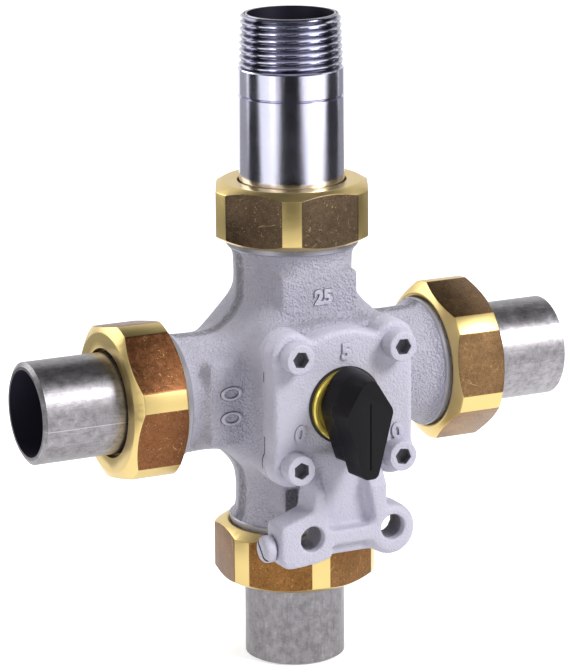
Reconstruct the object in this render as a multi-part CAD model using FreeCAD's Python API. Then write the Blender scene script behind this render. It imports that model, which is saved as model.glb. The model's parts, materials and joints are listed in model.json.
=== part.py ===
import FreeCAD, Part

import math
import os

Vector = FreeCAD.Vector

# Four-way rotary mixing valve with four union connections. All sizes are in millimetres.
# +Z is up and the cover faces -Y. The origin is the centre of the lower nipple's free end.
# The port axes and the spindle axis cross at the valve centre, straight above the origin.
# Shapes are made about the valve centre and lifted onto the origin when they are written.

# Reach of the four connections, from the valve centre
NIPPLE_REACH = 96.3
THREADED_REACH = 123.4

# Pipe ends
PIPE_OD = 33.7
PIPE_BORE = 28.5
WELD_BEVEL = 1.5
WELD_BEVEL_ANGLE = 30.0
COLLAR_LENGTH = 4.0
THREADED_OD = 35.0
THREAD_LENGTH = 17.7
THREAD_OD_END = 33.4
THREAD_OD_BASE = 34.8
RIM_CHAMFER = 0.7
GROOVE_DISTANCE = 8.5
GROOVE_WIDTH = 0.9
GROOVE_DEPTH = 0.35

# Unions: body thread, gasket and nut
PORT_FACE = 57.0
BODY_THREAD_OD = 41.8
BODY_THREAD_LENGTH = 8.7
THREAD_CHAMFER = 0.8
COLLAR_ROOM = 3.4
THREAD_PLAY = 0.06
GASKET_THICKNESS = 2.0
NUT_LENGTH = 19.6
NUT_ACROSS_FLATS = 50.0
NUT_CORNER_OD = 54.2
NUT_LIP = 5.2
NUT_PIPE_HOLE = 36.2
NUT_MOUTH = 45.0
NUT_MOUTH_DEPTH = 1.5
NUT_FACE_OD = 46.4
NUT_CHAMFER_ANGLE = 30.0

COLLAR_OD = BODY_THREAD_OD - COLLAR_ROOM

# Each port: turn about the spindle axis from straight up, and how far its nut was screwed round
PORTS = {
    "top": {"turn": 0.0, "nut_turn": 3.9},
    "right": {"turn": 90.0, "nut_turn": 52.0},
    "bottom": {"turn": 180.0, "nut_turn": 36.8},
    "left": {"turn": -90.0, "nut_turn": 41.7},
}

# Cast body
NECK_R = 19.8
NECK_FLARE = 3.6
NECK_FLARE_RISE = 0.3
NECK_FLARE_PLACE = 0.6
NECK_RIM_R = 21.8
NECK_RIM_WIDTH = 1.8
WATERWAY_R = 13.0
DRUM_R = 26.0
DRUM_BACK = 26.0
DRUM_EDGE = 2.0
CHAMBER_R = 20.0
CHAMBER_BACK = 20.0
JOINT_FACE = 30.0
BLOCK_BACK = 5.0
BLOCK_FULL = 21.0
BLOCK_SIDE = 25.2
BLOCK_TOP = 24.4
CORNER_WEB_REACH = 33.7
CORNER_WEB_BACK = 18.0
CORNER_WEB_EDGE = 5.0
PAD_HEIGHT = 19.9
PAD_WIDTH = 28.2
PAD_END = 37.0
PAD_EDGE = 1.6
PAD_PORTS = ("top", "bottom", "left")
BACK_BOSS_R = 11.0
BACK_BOSS_HEIGHT = 4.5
BACK_BOSS_EDGE = 1.5

# Cover
COVER_THICKNESS = 7.5
COVER_R = 25.2
COVER_SIDE = 25.3
COVER_TOP = 22.8
COVER_EDGE = 1.8
COVER_GASKET_THICKNESS = 0.5
SPIGOT_LENGTH = 3.0
SPIGOT_PLAY = 0.15

# Cover screws, M6 socket heads
SCREW_PITCH = 37.1
SCREW_LOBE_R = 7.6
SCREW_SHANK_R = 3.0
SCREW_LENGTH = 20.0
SCREW_HEAD_R = 5.0
SCREW_HEAD_HEIGHT = 5.9
SCREW_HEAD_CHAMFER = 0.5
SCREW_HEX = 5.0
SCREW_HEX_DEPTH = 3.4
SCREW_TURNS = {"upper_left": 8.0, "upper_right": 3.0, "lower_left": 28.0, "lower_right": 10.0}
SCREW_PLAY = 0.3
TAPPED_PLAY = 0.03
SCREW_TIP_ROOM = 2.0

# Actuator bracket, cast in one with the cover
BRACKET_FRONT = 44.0
BRACKET_BACK = 33.0
BRACKET_HOLE_R = 4.25
BRACKET_HOLE_PITCH = 29.5
BRACKET_DROP = 42.2
BRACKET_BOSS_R = 8.8
BRACKET_BOSS_FALL = 1.0
BRACKET_BOSS_DROP = BRACKET_DROP + BRACKET_BOSS_FALL
BRACKET_EDGE = 2.6
BRACKET_FLOOR = 39.4
BRACKET_WEB_BACK = 31.5
WEB_WIDTH = 24.0
WEB_TOP = 14.5
CLAMP_BLOCK_LEFT = 26.2
CLAMP_BLOCK_BACK = 32.6
CLAMP_BLOCK_CORNER = 4.0
RIB_RISE = 1.8
RIB_FALL = 3.4
LIP_FALL = 7.4
LIP_SETBACK = 3.2
ARM_TOP = 19.5
ARM_SLOPE_END = 27.0
ARM_CORNER = 0.8
LEFT_ARM_TOP = (-12.6, -9.9)
LEFT_ARM_FOOT = (-15.4, -8.6)
RIGHT_ARM_TOP = (4.4, 12.7)
RIGHT_ARM_FOOT = (8.8, 12.7)
CLAMP_BLOCK_RISE_LEFT = 5.0
CLAMP_BLOCK_RISE = 8.8
CLAMP_BLOCK_INNER_TOP = -9.0
CLAMP_BLOCK_INNER_FOOT = -7.0
CLAMP_BLOCK_TOE = -13.5
CLAMP_BLOCK_TOE_LIFT = 0.9
CLAMP_BLOCK_EDGE = 0.7
RIB_TOP = BRACKET_DROP - RIB_RISE
RIB_BOTTOM = BRACKET_DROP + RIB_FALL
LIP_BOTTOM = BRACKET_DROP + LIP_FALL

# Clamp screw in the bracket's left block
CLAMP_DEPTH = 37.6
CLAMP_FALL = 3.0
CLAMP_DROP = BRACKET_DROP + CLAMP_FALL
CLAMP_SHANK_R = 2.9
CLAMP_HEAD_R = 4.5
CLAMP_HEAD_LENGTH = 3.6
CLAMP_HEAD_ROUND = 2.0
CLAMP_GAP = 0.8
CLAMP_REACH = 6.0
CLAMP_SLOT_WIDTH = 0.9
CLAMP_SLOT_DEPTH = 1.3
CLAMP_SLOT_TURN = -42.0

# Spindle, bushes and seals
SPINDLE_R = 5.0
SPINDLE_PLAY = 0.05
SPINDLE_FLAT = 3.8
SPINDLE_END = 52.0
BUSH_R = 8.5
BUSH_FLANGE_R = 12.2
BUSH_FLANGE_THICKNESS = 1.7
BUSH_CHAMFER = 0.5
BUSH_SHORTFALL = 0.7
BUSH_DISH_R = 10.9
BUSH_DISH_DEPTH = 0.6
GLAND_SEAL_R = 13.0
GLAND_SEAL_THICKNESS = 0.6
O_RING_SECTION = 1.78
O_RING_PLACES = (31.5, 35.5)
O_RING_SIDE_PLAY = 0.3
REAR_BUSH_R = 7.0
REAR_BUSH_LENGTH = 6.0
THRUST_WASHER_R = 11.0
THRUST_WASHER_THICKNESS = 1.0

# Rotor
VANE_THICKNESS = 5.0
VANE_PLAY = 0.3
VANE_HUB_R = 8.0
VANE_SEAL_DEPTH = 3.5
VANE_SEAL_ANGLE = 13.0
END_PLAY = 0.2
ROTOR_PIN_R = 1.5
ROTOR_PIN_PLAY = 0.02
ROTOR_PIN_PLACE = 3.0
ROTOR_PIN_LENGTH = 15.0

# Knob: foot, waist and face are its cross-sections from back to front
KNOB_BACK = 40.6
KNOB_STEP = 47.5
KNOB_FRONT = 56.4
FOOT_HALF_WIDTH = 10.6
FOOT_CROWN = 22.0
FOOT_TIP = 4.6
FOOT_CROWN_ROUND = 7.5
FOOT_SHOULDER_ROUND = 9.0
FOOT_TIP_ROUND = 1.6
WAIST_HALF_WIDTH = 10.0
WAIST_CROWN = 19.6
WAIST_TIP = 3.4
WAIST_CROWN_ROUND = 6.3
WAIST_SHOULDER_ROUND = 6.0
WAIST_TIP_ROUND = 1.6
FACE_HALF_WIDTH = 8.4
FACE_CROWN = 15.2
FACE_TIP = 2.6
FACE_CROWN_ROUND = 3.4
FACE_SHOULDER_ROUND = 3.2
FACE_TIP_ROUND = 2.2
KNOB_SHOULDER = 1.7
KNOB_SKIRT_DROP = 17.2
KNOB_POINTER_DROP = 20.6
KNOB_FLAT_START = 1.0
KNOB_LINE_WIDTH = 0.5
KNOB_LINE_DEPTH = 0.4
KNOB_LINE_START = 3.2
KNOB_LINE_LENGTH = 22.0


def rod(radius, y_from, y_to, x=0.0, z=0.0):
    """A round bar along Y between two depths behind (positive y) or before (negative y)."""
    low = min(y_from, y_to)
    return Part.makeCylinder(radius, abs(y_to - y_from), Vector(x, low, z), Vector(0, 1, 0))


def turned(profile, axis=Vector(0, 0, 1)):
    """Turn a closed profile of (radius, distance) points about Z or Y."""
    if axis.z:
        points = [Vector(r, 0, d) for r, d in profile]
    else:
        points = [Vector(r, d, 0) for r, d in profile]
    points.append(points[0])
    face = Part.Face(Part.makePolygon(points))
    return face.revolve(Vector(0, 0, 0), axis, 360)


def softened_front(solid, y_front, edge):
    """Round every edge that lies in the plane at depth y_front."""
    rim = [e for e in solid.Edges if e.BoundBox.YMax < y_front + 1e-6]
    return solid.makeFillet(edge, rim)


def rounded_outline(corners, y):
    """A closed wire in the plane at depth y through (x, z, radius) corners."""
    count = len(corners)
    starts = []
    ends = []
    middles = []
    for i, (x, z, radius) in enumerate(corners):
        here = Vector(x, y, z)
        before = Vector(corners[i - 1][0], y, corners[i - 1][1])
        after = Vector(corners[(i + 1) % count][0], y, corners[(i + 1) % count][1])
        to_before = (before - here).normalize()
        to_after = (after - here).normalize()
        half = to_before.getAngle(to_after) / 2
        reach = radius / math.tan(half)
        bisector = (to_before + to_after).normalize()
        centre = here + bisector * (radius / math.sin(half))
        starts.append(here + to_before * reach)
        ends.append(here + to_after * reach)
        middles.append(centre - bisector * radius)
    edges = []
    for i in range(count):
        edges.append(Part.Arc(starts[i], middles[i], ends[i]).toShape())
        following = starts[(i + 1) % count]
        edges.append(Part.LineSegment(ends[i], following).toShape())
    return Part.Wire(edges)


def rounded_prism(corners, y_back, y_front):
    """A prism along Y on a rounded outline."""
    face = Part.Face(rounded_outline(corners, y_back))
    return face.extrude(Vector(0, y_front - y_back, 0))


def to_port(shape, port):
    """Turn a shape made about +Z onto one of the four ports."""
    placed = shape.copy()
    placed.rotate(Vector(0, 0, 0), Vector(0, 1, 0), PORTS[port]["turn"])
    return placed


def fused(shapes):
    """One solid from several, without the seams between them."""
    return shapes[0].fuse(shapes[1:]).removeSplitter()


def screw_places():
    """The four cover screws' (x, z) places, by name."""
    half = SCREW_PITCH / 2
    return {
        "upper_left": (-half, half),
        "upper_right": (half, half),
        "lower_left": (-half, -half),
        "lower_right": (half, -half),
    }


def hexagon_bar(across_flats, length, turn=0.0):
    """A hexagon bar along +Z with one corner turned from +X by the given angle."""
    corner = across_flats / 2 / math.cos(math.radians(30))
    points = []
    for k in range(7):
        angle = math.radians(turn + 60 * k)
        points.append(Vector(corner * math.cos(angle), corner * math.sin(angle), 0))
    return Part.Face(Part.makePolygon(points)).extrude(Vector(0, 0, length))


def flat_bar(half_x, half_z, y_back, y_front):
    """A box centred on the spindle axis between two depths."""
    return Part.makeBox(2 * half_x, y_back - y_front, 2 * half_z, Vector(-half_x, y_front, -half_z))


def lobed_plate(disc_r, side, top, y_back, y_front, edge=0.0):
    """A disc with four screw lobes, filled out between them to the given side and top."""
    half = SCREW_PITCH / 2
    plates = [flat_bar(side, half, y_back, y_front), flat_bar(half, top, y_back, y_front)]
    if edge:
        plates = [softened_front(plate, y_front, edge) for plate in plates]
    places = [(0.0, 0.0, disc_r)]
    places += [(x, z, SCREW_LOBE_R) for x, z in screw_places().values()]
    for x, z, radius in places:
        plate = rod(radius, y_back, y_front, x, z)
        plates.append(softened_front(plate, y_front, edge) if edge else plate)
    return fused(plates)


# Union parts, all made about +Z with z as the distance from the valve centre

COLLAR_START = PORT_FACE + GASKET_THICKNESS
COLLAR_END = COLLAR_START + COLLAR_LENGTH
NUT_END = COLLAR_END + NUT_LIP
NUT_START = NUT_END - NUT_LENGTH


def weld_nipple():
    bevel_length = WELD_BEVEL / math.tan(math.radians(90 - WELD_BEVEL_ANGLE))
    return turned([
        (PIPE_BORE / 2, COLLAR_START),
        (COLLAR_OD / 2, COLLAR_START),
        (COLLAR_OD / 2, COLLAR_END),
        (PIPE_OD / 2, COLLAR_END),
        (PIPE_OD / 2, NIPPLE_REACH - bevel_length),
        (PIPE_OD / 2 - WELD_BEVEL, NIPPLE_REACH),
        (PIPE_BORE / 2, NIPPLE_REACH),
    ])


def threaded_nipple():
    thread_base = THREADED_REACH - THREAD_LENGTH
    groove_top = thread_base - GROOVE_DISTANCE
    groove_low = groove_top - GROOVE_WIDTH
    return turned([
        (PIPE_BORE / 2, COLLAR_START),
        (COLLAR_OD / 2, COLLAR_START),
        (COLLAR_OD / 2, COLLAR_END),
        (THREADED_OD / 2, COLLAR_END),
        (THREADED_OD / 2, groove_low),
        (THREADED_OD / 2 - GROOVE_DEPTH, (groove_low + groove_top) / 2),
        (THREADED_OD / 2, groove_top),
        (THREADED_OD / 2, thread_base),
        (THREAD_OD_BASE / 2, thread_base),
        (THREAD_OD_END / 2, THREADED_REACH - RIM_CHAMFER),
        (THREAD_OD_END / 2 - RIM_CHAMFER, THREADED_REACH),
        (PIPE_BORE / 2, THREADED_REACH),
    ])


def union_gasket():
    return turned([
        (PIPE_BORE / 2, PORT_FACE),
        (COLLAR_OD / 2, PORT_FACE),
        (COLLAR_OD / 2, COLLAR_START),
        (PIPE_BORE / 2, COLLAR_START),
    ])


def union_nut(turn):
    """Hexagon nut with turned corners, chamfered ends, a thread bore and a lip behind the collar."""
    slope = math.tan(math.radians(NUT_CHAMFER_ANGLE))
    chamfer = (NUT_CORNER_OD - NUT_FACE_OD) / 2 * slope
    thread_r = BODY_THREAD_OD / 2 + THREAD_PLAY
    envelope = turned([
        (NUT_PIPE_HOLE / 2, NUT_END),
        (NUT_PIPE_HOLE / 2, COLLAR_END),
        (thread_r, COLLAR_END),
        (thread_r, NUT_START + NUT_MOUTH_DEPTH),
        (NUT_MOUTH / 2, NUT_START),
        (NUT_FACE_OD / 2, NUT_START),
        (NUT_CORNER_OD / 2, NUT_START + chamfer),
        (NUT_CORNER_OD / 2, NUT_END - chamfer),
        (NUT_FACE_OD / 2, NUT_END),
    ])
    hexagon = hexagon_bar(NUT_ACROSS_FLATS, NUT_LENGTH, turn)
    hexagon.translate(Vector(0, 0, NUT_START))
    return envelope.common(hexagon)


# Cast body

def neck():
    """One neck: straight, flared to the machined rim, then the union thread's cylinder."""
    rim_end = PORT_FACE - BODY_THREAD_LENGTH
    rim_start = rim_end - NECK_RIM_WIDTH
    straight_end = rim_start - NECK_FLARE
    thread_r = BODY_THREAD_OD / 2
    flare_middle = Vector(NECK_R + NECK_FLARE_RISE * (NECK_RIM_R - NECK_R), 0,
                          straight_end + NECK_FLARE_PLACE * NECK_FLARE)
    flare_start = Vector(NECK_R, 0, straight_end)
    flare = Part.Arc(flare_start, flare_middle, Vector(NECK_RIM_R, 0, rim_start)).toShape()
    lines = Part.makePolygon([
        Vector(NECK_RIM_R, 0, rim_start),
        Vector(NECK_RIM_R, 0, rim_end),
        Vector(thread_r, 0, rim_end),
        Vector(thread_r, 0, PORT_FACE - THREAD_CHAMFER),
        Vector(thread_r - THREAD_CHAMFER, 0, PORT_FACE),
        Vector(0, 0, PORT_FACE),
        Vector(0, 0, 0),
        Vector(NECK_R, 0, 0),
        flare_start,
    ])
    face = Part.Face(Part.Wire([flare] + lines.Edges))
    return face.revolve(Vector(0, 0, 0), Vector(0, 0, 1), 360)


def port_pad():
    """The flat block on the front of a neck, with softened edges."""
    block = Part.makeBox(PAD_WIDTH, PAD_HEIGHT, PAD_END, Vector(-PAD_WIDTH / 2, -PAD_HEIGHT, 0))
    front = [e for e in block.Edges if e.BoundBox.YMax < -PAD_HEIGHT + 1e-6]
    kept = [e for e in front if e.BoundBox.ZMax > 1e-6]
    return block.makeChamfer(PAD_EDGE, kept)


def drum():
    """The round middle of the body about the spindle axis, with its back boss."""
    barrel = rod(DRUM_R, DRUM_BACK, -JOINT_FACE)
    back_rim = [e for e in barrel.Edges if e.BoundBox.YMin > DRUM_BACK - 1e-6]
    barrel = barrel.makeFillet(DRUM_EDGE, back_rim)
    boss = rod(BACK_BOSS_R, 0, DRUM_BACK + BACK_BOSS_HEIGHT)
    boss_rim = [e for e in boss.Edges if e.BoundBox.YMin > DRUM_BACK + BACK_BOSS_HEIGHT - 1e-6]
    return [barrel, boss.makeFillet(BACK_BOSS_EDGE, boss_rim)]


def cover_seat():
    """The block behind the cover, its screw lobes running out into the drum towards the back."""
    block = lobed_plate(DRUM_R, BLOCK_SIDE, BLOCK_TOP, -BLOCK_BACK, -JOINT_FACE)
    lobe_reach = SCREW_PITCH / math.sqrt(2) + SCREW_LOBE_R
    slope = (lobe_reach - DRUM_R) / (BLOCK_FULL - BLOCK_BACK)
    depth = JOINT_FACE - BLOCK_BACK
    front_r = DRUM_R + slope * depth
    taper = Part.makeCone(front_r, DRUM_R, depth, Vector(0, -JOINT_FACE, 0), Vector(0, 1, 0))
    return block.common(taper)


def corner_webs():
    """The slanting corners between the necks: an octagon whose short sides are as wide as a pad."""
    side = PAD_WIDTH / 2
    reach = CORNER_WEB_REACH * math.sqrt(2) - side
    corners = [(side, reach), (reach, side), (reach, -side), (side, -reach),
               (-side, -reach), (-reach, -side), (-reach, side), (-side, reach)]
    outline = Part.makePolygon([Vector(x, -BLOCK_FULL, z) for x, z in corners + corners[:1]])
    block = Part.Face(outline).extrude(Vector(0, BLOCK_FULL + CORNER_WEB_BACK, 0))
    rims = [e for e in block.Edges if e.BoundBox.YLength < 1e-3]
    return block.makeChamfer(CORNER_WEB_EDGE, rims)


def valve_body():
    solids = drum()
    solids.append(corner_webs())
    solids += [to_port(neck(), port) for port in PORTS]
    solids += [to_port(port_pad(), port) for port in PAD_PORTS]
    solids.append(cover_seat())
    body = fused(solids)
    cuts = [rod(CHAMBER_R, CHAMBER_BACK, -JOINT_FACE)]
    cuts.append(rod(REAR_BUSH_R, CHAMBER_BACK, CHAMBER_BACK + REAR_BUSH_LENGTH))
    waterway = Part.makeCylinder(WATERWAY_R, PORT_FACE)
    cuts += [to_port(waterway, port) for port in PORTS]
    screw_reach = SCREW_LENGTH - COVER_THICKNESS - COVER_GASKET_THICKNESS + SCREW_TIP_ROOM
    for x, z in screw_places().values():
        cuts.append(rod(SCREW_SHANK_R + TAPPED_PLAY, -JOINT_FACE, -JOINT_FACE + screw_reach, x, z))
    return body.cut(cuts)


# Cover

COVER_BACK = JOINT_FACE + COVER_GASKET_THICKNESS
COVER_FRONT = COVER_BACK + COVER_THICKNESS
SPIGOT_FACE = COVER_BACK - SPIGOT_LENGTH


def bracket():
    """Arms, web, rib, round boss and clamp block below the cover."""
    half = BRACKET_HOLE_PITCH / 2
    arms = []
    for top, foot in ((LEFT_ARM_TOP, LEFT_ARM_FOOT), (RIGHT_ARM_TOP, RIGHT_ARM_FOOT)):
        arms.append(rounded_prism([
            (top[0], -ARM_TOP, ARM_CORNER), (top[1], -ARM_TOP, ARM_CORNER),
            (foot[1], -RIB_TOP, ARM_CORNER), (foot[0], -RIB_TOP, ARM_CORNER),
        ], -BRACKET_WEB_BACK, -BRACKET_FRONT))
    slope = Part.Face(Part.makePolygon([
        Vector(-CLAMP_BLOCK_LEFT, -BRACKET_WEB_BACK, -ARM_TOP),
        Vector(-CLAMP_BLOCK_LEFT, -BRACKET_FLOOR, -ARM_TOP),
        Vector(-CLAMP_BLOCK_LEFT, -BRACKET_FRONT, -ARM_SLOPE_END),
        Vector(-CLAMP_BLOCK_LEFT, -BRACKET_FRONT, -LIP_BOTTOM),
        Vector(-CLAMP_BLOCK_LEFT, -BRACKET_WEB_BACK, -LIP_BOTTOM),
        Vector(-CLAMP_BLOCK_LEFT, -BRACKET_WEB_BACK, -ARM_TOP),
    ])).extrude(Vector(2 * CLAMP_BLOCK_LEFT, 0, 0))
    arms = [arm.common(slope) for arm in arms]
    web = Part.makeBox(WEB_WIDTH, BRACKET_FLOOR - BRACKET_WEB_BACK, RIB_BOTTOM - WEB_TOP,
                       Vector(-WEB_WIDTH / 2, -BRACKET_FLOOR, -RIB_BOTTOM))
    rib = Part.makeBox(2 * half, BRACKET_FRONT - BRACKET_WEB_BACK, RIB_BOTTOM - RIB_TOP,
                       Vector(-half, -BRACKET_FRONT, -RIB_BOTTOM))
    lip = Part.makeBox(2 * half, BRACKET_FRONT - LIP_SETBACK - BRACKET_WEB_BACK, LIP_BOTTOM - RIB_BOTTOM,
                       Vector(-half, -BRACKET_FRONT + LIP_SETBACK, -LIP_BOTTOM))
    boss = rod(BRACKET_BOSS_R, -BRACKET_BACK, -BRACKET_FRONT, half, -BRACKET_BOSS_DROP)
    boss = softened_front(boss, -BRACKET_FRONT, BRACKET_EDGE)
    bottom = BRACKET_BOSS_DROP + BRACKET_BOSS_R
    block = rounded_prism([
        (-CLAMP_BLOCK_LEFT, -BRACKET_DROP + CLAMP_BLOCK_RISE_LEFT, 2 * ARM_CORNER),
        (LEFT_ARM_FOOT[0], -BRACKET_DROP + CLAMP_BLOCK_RISE, ARM_CORNER),
        (CLAMP_BLOCK_INNER_TOP, -BRACKET_DROP + CLAMP_BLOCK_RISE, ARM_CORNER),
        (CLAMP_BLOCK_INNER_FOOT, -LIP_BOTTOM, 2 * ARM_CORNER),
        (CLAMP_BLOCK_TOE, -bottom + CLAMP_BLOCK_TOE_LIFT, CLAMP_BLOCK_CORNER),
        (-CLAMP_BLOCK_LEFT, -bottom, CLAMP_BLOCK_CORNER),
    ], -CLAMP_BLOCK_BACK, -BRACKET_FRONT)
    block = softened_front(block, -BRACKET_FRONT, CLAMP_BLOCK_EDGE)
    return arms + [web, rib, lip, boss, block]


def cover_plate():
    solids = [lobed_plate(COVER_R, COVER_SIDE, COVER_TOP, -COVER_BACK, -COVER_FRONT, COVER_EDGE)]
    spigot_r = CHAMBER_R - SPIGOT_PLAY
    solids.append(rod(spigot_r, -COVER_FRONT + COVER_EDGE, -SPIGOT_FACE))
    solids += bracket()
    cover = fused(solids)
    cuts = [rod(BUSH_R, -SPIGOT_FACE, -COVER_FRONT)]
    for x, z in screw_places().values():
        cuts.append(rod(SCREW_SHANK_R + SCREW_PLAY, -JOINT_FACE, -BRACKET_FRONT, x, z))
    for side in (-1, 1):
        x = side * BRACKET_HOLE_PITCH / 2
        cuts.append(rod(BRACKET_HOLE_R, -BRACKET_WEB_BACK, -BRACKET_FRONT, x, -BRACKET_DROP))
    clamp_hole = Part.makeCylinder(CLAMP_SHANK_R + TAPPED_PLAY, CLAMP_REACH,
                                   Vector(-CLAMP_BLOCK_LEFT, -CLAMP_DEPTH, -CLAMP_DROP), Vector(1, 0, 0))
    cuts.append(clamp_hole)
    return cover.cut(cuts)


def cover_gasket():
    sheet = lobed_plate(COVER_R, COVER_SIDE, COVER_TOP, -JOINT_FACE, -COVER_BACK)
    cuts = [rod(CHAMBER_R, -JOINT_FACE, -COVER_BACK)]
    for x, z in screw_places().values():
        cuts.append(rod(SCREW_SHANK_R + SCREW_PLAY, -JOINT_FACE, -COVER_BACK, x, z))
    return sheet.cut(cuts)


def cover_screw(x, z, turn):
    """Socket-head cap screw, its head resting on the cover's face."""
    shank = rod(SCREW_SHANK_R, -COVER_FRONT + SCREW_LENGTH, -COVER_FRONT, x, z)
    head = rod(SCREW_HEAD_R, -COVER_FRONT, -COVER_FRONT - SCREW_HEAD_HEIGHT, x, z)
    head = softened_front(head, -COVER_FRONT - SCREW_HEAD_HEIGHT, SCREW_HEAD_CHAMFER)
    socket = hexagon_bar(SCREW_HEX, SCREW_HEX_DEPTH, turn)
    socket.rotate(Vector(0, 0, 0), Vector(1, 0, 0), -90)
    socket.translate(Vector(x, -COVER_FRONT - SCREW_HEAD_HEIGHT, z))
    return fused([shank, head]).cut(socket)


def clamp_screw():
    """Slotted cheese-head screw along X in the bracket's left block."""
    out = Vector(-1, 0, 0)
    face = Vector(-CLAMP_BLOCK_LEFT, -CLAMP_DEPTH, -CLAMP_DROP)
    shank = Part.makeCylinder(CLAMP_SHANK_R, CLAMP_REACH + CLAMP_GAP, face - out * CLAMP_REACH, out)
    seat = face + out * CLAMP_GAP
    head = Part.makeCylinder(CLAMP_HEAD_R, CLAMP_HEAD_LENGTH, seat, out)
    end_x = seat.x - CLAMP_HEAD_LENGTH
    rim = [e for e in head.Edges if e.BoundBox.XMax < end_x + 1e-6]
    head = head.makeFillet(CLAMP_HEAD_ROUND, rim)
    slot = Part.makeBox(CLAMP_SLOT_DEPTH, CLAMP_SLOT_WIDTH, 3 * CLAMP_HEAD_R,
                        Vector(end_x, -CLAMP_DEPTH - CLAMP_SLOT_WIDTH / 2, -CLAMP_DROP - 1.5 * CLAMP_HEAD_R))
    slot.rotate(face, Vector(1, 0, 0), CLAMP_SLOT_TURN)
    return fused([shank, head]).cut(slot)


# Spindle, bushes and seals

GLAND_FRONT = COVER_FRONT + GLAND_SEAL_THICKNESS + BUSH_FLANGE_THICKNESS


def gland_seal():
    return rod(GLAND_SEAL_R, -COVER_FRONT, -COVER_FRONT - GLAND_SEAL_THICKNESS).cut(
        rod(BUSH_R, -COVER_FRONT, -COVER_FRONT - GLAND_SEAL_THICKNESS))


def gland_bush():
    bore = SPINDLE_R + SPINDLE_PLAY
    seat = COVER_FRONT + GLAND_SEAL_THICKNESS
    inner_end = SPIGOT_FACE + BUSH_SHORTFALL
    return turned([
        (bore, -inner_end),
        (BUSH_R, -inner_end),
        (BUSH_R, -seat),
        (BUSH_FLANGE_R, -seat),
        (BUSH_FLANGE_R, -GLAND_FRONT + BUSH_CHAMFER),
        (BUSH_FLANGE_R - BUSH_CHAMFER, -GLAND_FRONT),
        (BUSH_DISH_R, -GLAND_FRONT),
        (BUSH_DISH_R - BUSH_DISH_DEPTH, -GLAND_FRONT + BUSH_DISH_DEPTH),
        (bore, -GLAND_FRONT + BUSH_DISH_DEPTH),
    ], Vector(0, 1, 0))


def rear_bush():
    outer = rod(REAR_BUSH_R, CHAMBER_BACK, CHAMBER_BACK + REAR_BUSH_LENGTH)
    return outer.cut(rod(SPINDLE_R + SPINDLE_PLAY, CHAMBER_BACK, CHAMBER_BACK + REAR_BUSH_LENGTH))


def thrust_washer():
    outer = rod(THRUST_WASHER_R, -SPIGOT_FACE, -SPIGOT_FACE + THRUST_WASHER_THICKNESS)
    return outer.cut(rod(SPINDLE_R + VANE_PLAY, -SPIGOT_FACE, -SPIGOT_FACE + THRUST_WASHER_THICKNESS))


O_RING_OUTER_R = SPINDLE_R + SPINDLE_PLAY / 2
O_RING_CENTRE_R = O_RING_OUTER_R - O_RING_SECTION / 2


def flat_at_spindle_end():
    """The block that stands where the spindle's driving flat is cut away."""
    start = KNOB_BACK + KNOB_FLAT_START
    return Part.makeBox(2 * SPINDLE_R, SPINDLE_END - start, SPINDLE_R,
                        Vector(-SPINDLE_R, -SPINDLE_END, SPINDLE_FLAT))


def spindle():
    shaft = rod(SPINDLE_R, CHAMBER_BACK + REAR_BUSH_LENGTH - END_PLAY, -SPINDLE_END)
    groove_r = O_RING_OUTER_R - O_RING_SECTION
    half_groove = O_RING_SECTION / 2 + O_RING_SIDE_PLAY
    cuts = []
    for place in O_RING_PLACES:
        groove = rod(SPINDLE_R, -place - half_groove, -place + half_groove)
        cuts.append(groove.cut(rod(groove_r, -place - half_groove, -place + half_groove)))
    cuts.append(flat_at_spindle_end())
    cuts.append(rotor_pin_bore())
    return shaft.cut(cuts)


def spindle_seal(place):
    return Part.makeTorus(O_RING_CENTRE_R, O_RING_SECTION / 2, Vector(0, -place, 0), Vector(0, 1, 0))


def rotor_pin_bore():
    length = 2 * VANE_HUB_R
    return Part.makeCylinder(ROTOR_PIN_R + ROTOR_PIN_PLAY, length, Vector(0, -ROTOR_PIN_PLACE, -VANE_HUB_R))


def rotor_pin():
    length = ROTOR_PIN_LENGTH
    return Part.makeCylinder(ROTOR_PIN_R, length, Vector(0, -ROTOR_PIN_PLACE, -length / 2))


def rotor_vane():
    """Flat vane across the chamber with a hub and two curved sealing edges."""
    reach = CHAMBER_R - VANE_PLAY
    back = CHAMBER_BACK - END_PLAY
    front = -SPIGOT_FACE + THRUST_WASHER_THICKNESS + END_PLAY / 2
    plate_reach = reach - VANE_SEAL_DEPTH / 2
    plate = Part.makeBox(2 * plate_reach, back - front, VANE_THICKNESS,
                         Vector(-plate_reach, front, -VANE_THICKNESS / 2))
    ring = rod(reach, back, front).cut(rod(reach - VANE_SEAL_DEPTH, back, front))
    wedge_half = 2 * reach * math.tan(math.radians(VANE_SEAL_ANGLE))
    wedges = []
    for side in (-1, 1):
        wedges.append(Part.Face(Part.makePolygon([
            Vector(0, front, 0), Vector(side * 2 * reach, front, wedge_half),
            Vector(side * 2 * reach, front, -wedge_half), Vector(0, front, 0),
        ])).extrude(Vector(0, back - front, 0)))
    seals = [ring.common(wedge) for wedge in wedges]
    hub = rod(VANE_HUB_R, back, front)
    vane = fused([plate, hub] + seals)
    return vane.cut([rod(SPINDLE_R, back, front), rotor_pin_bore()])


# Knob

def knob_section(depth, half, crown, tip, rounds, drop):
    """One cross-section of the knob: crown, two shoulders and a blunt tip."""
    crown_round, shoulder_round, tip_round = rounds
    return rounded_outline([
        (0.0, crown, crown_round), (half, KNOB_SHOULDER, shoulder_round), (tip, -drop, tip_round),
        (-tip, -drop, tip_round), (-half, KNOB_SHOULDER, shoulder_round),
    ], -depth)


def knob_waist(drop):
    return knob_section(KNOB_STEP, WAIST_HALF_WIDTH, WAIST_CROWN, WAIST_TIP,
                        (WAIST_CROWN_ROUND, WAIST_SHOULDER_ROUND, WAIST_TIP_ROUND), drop)


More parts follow.
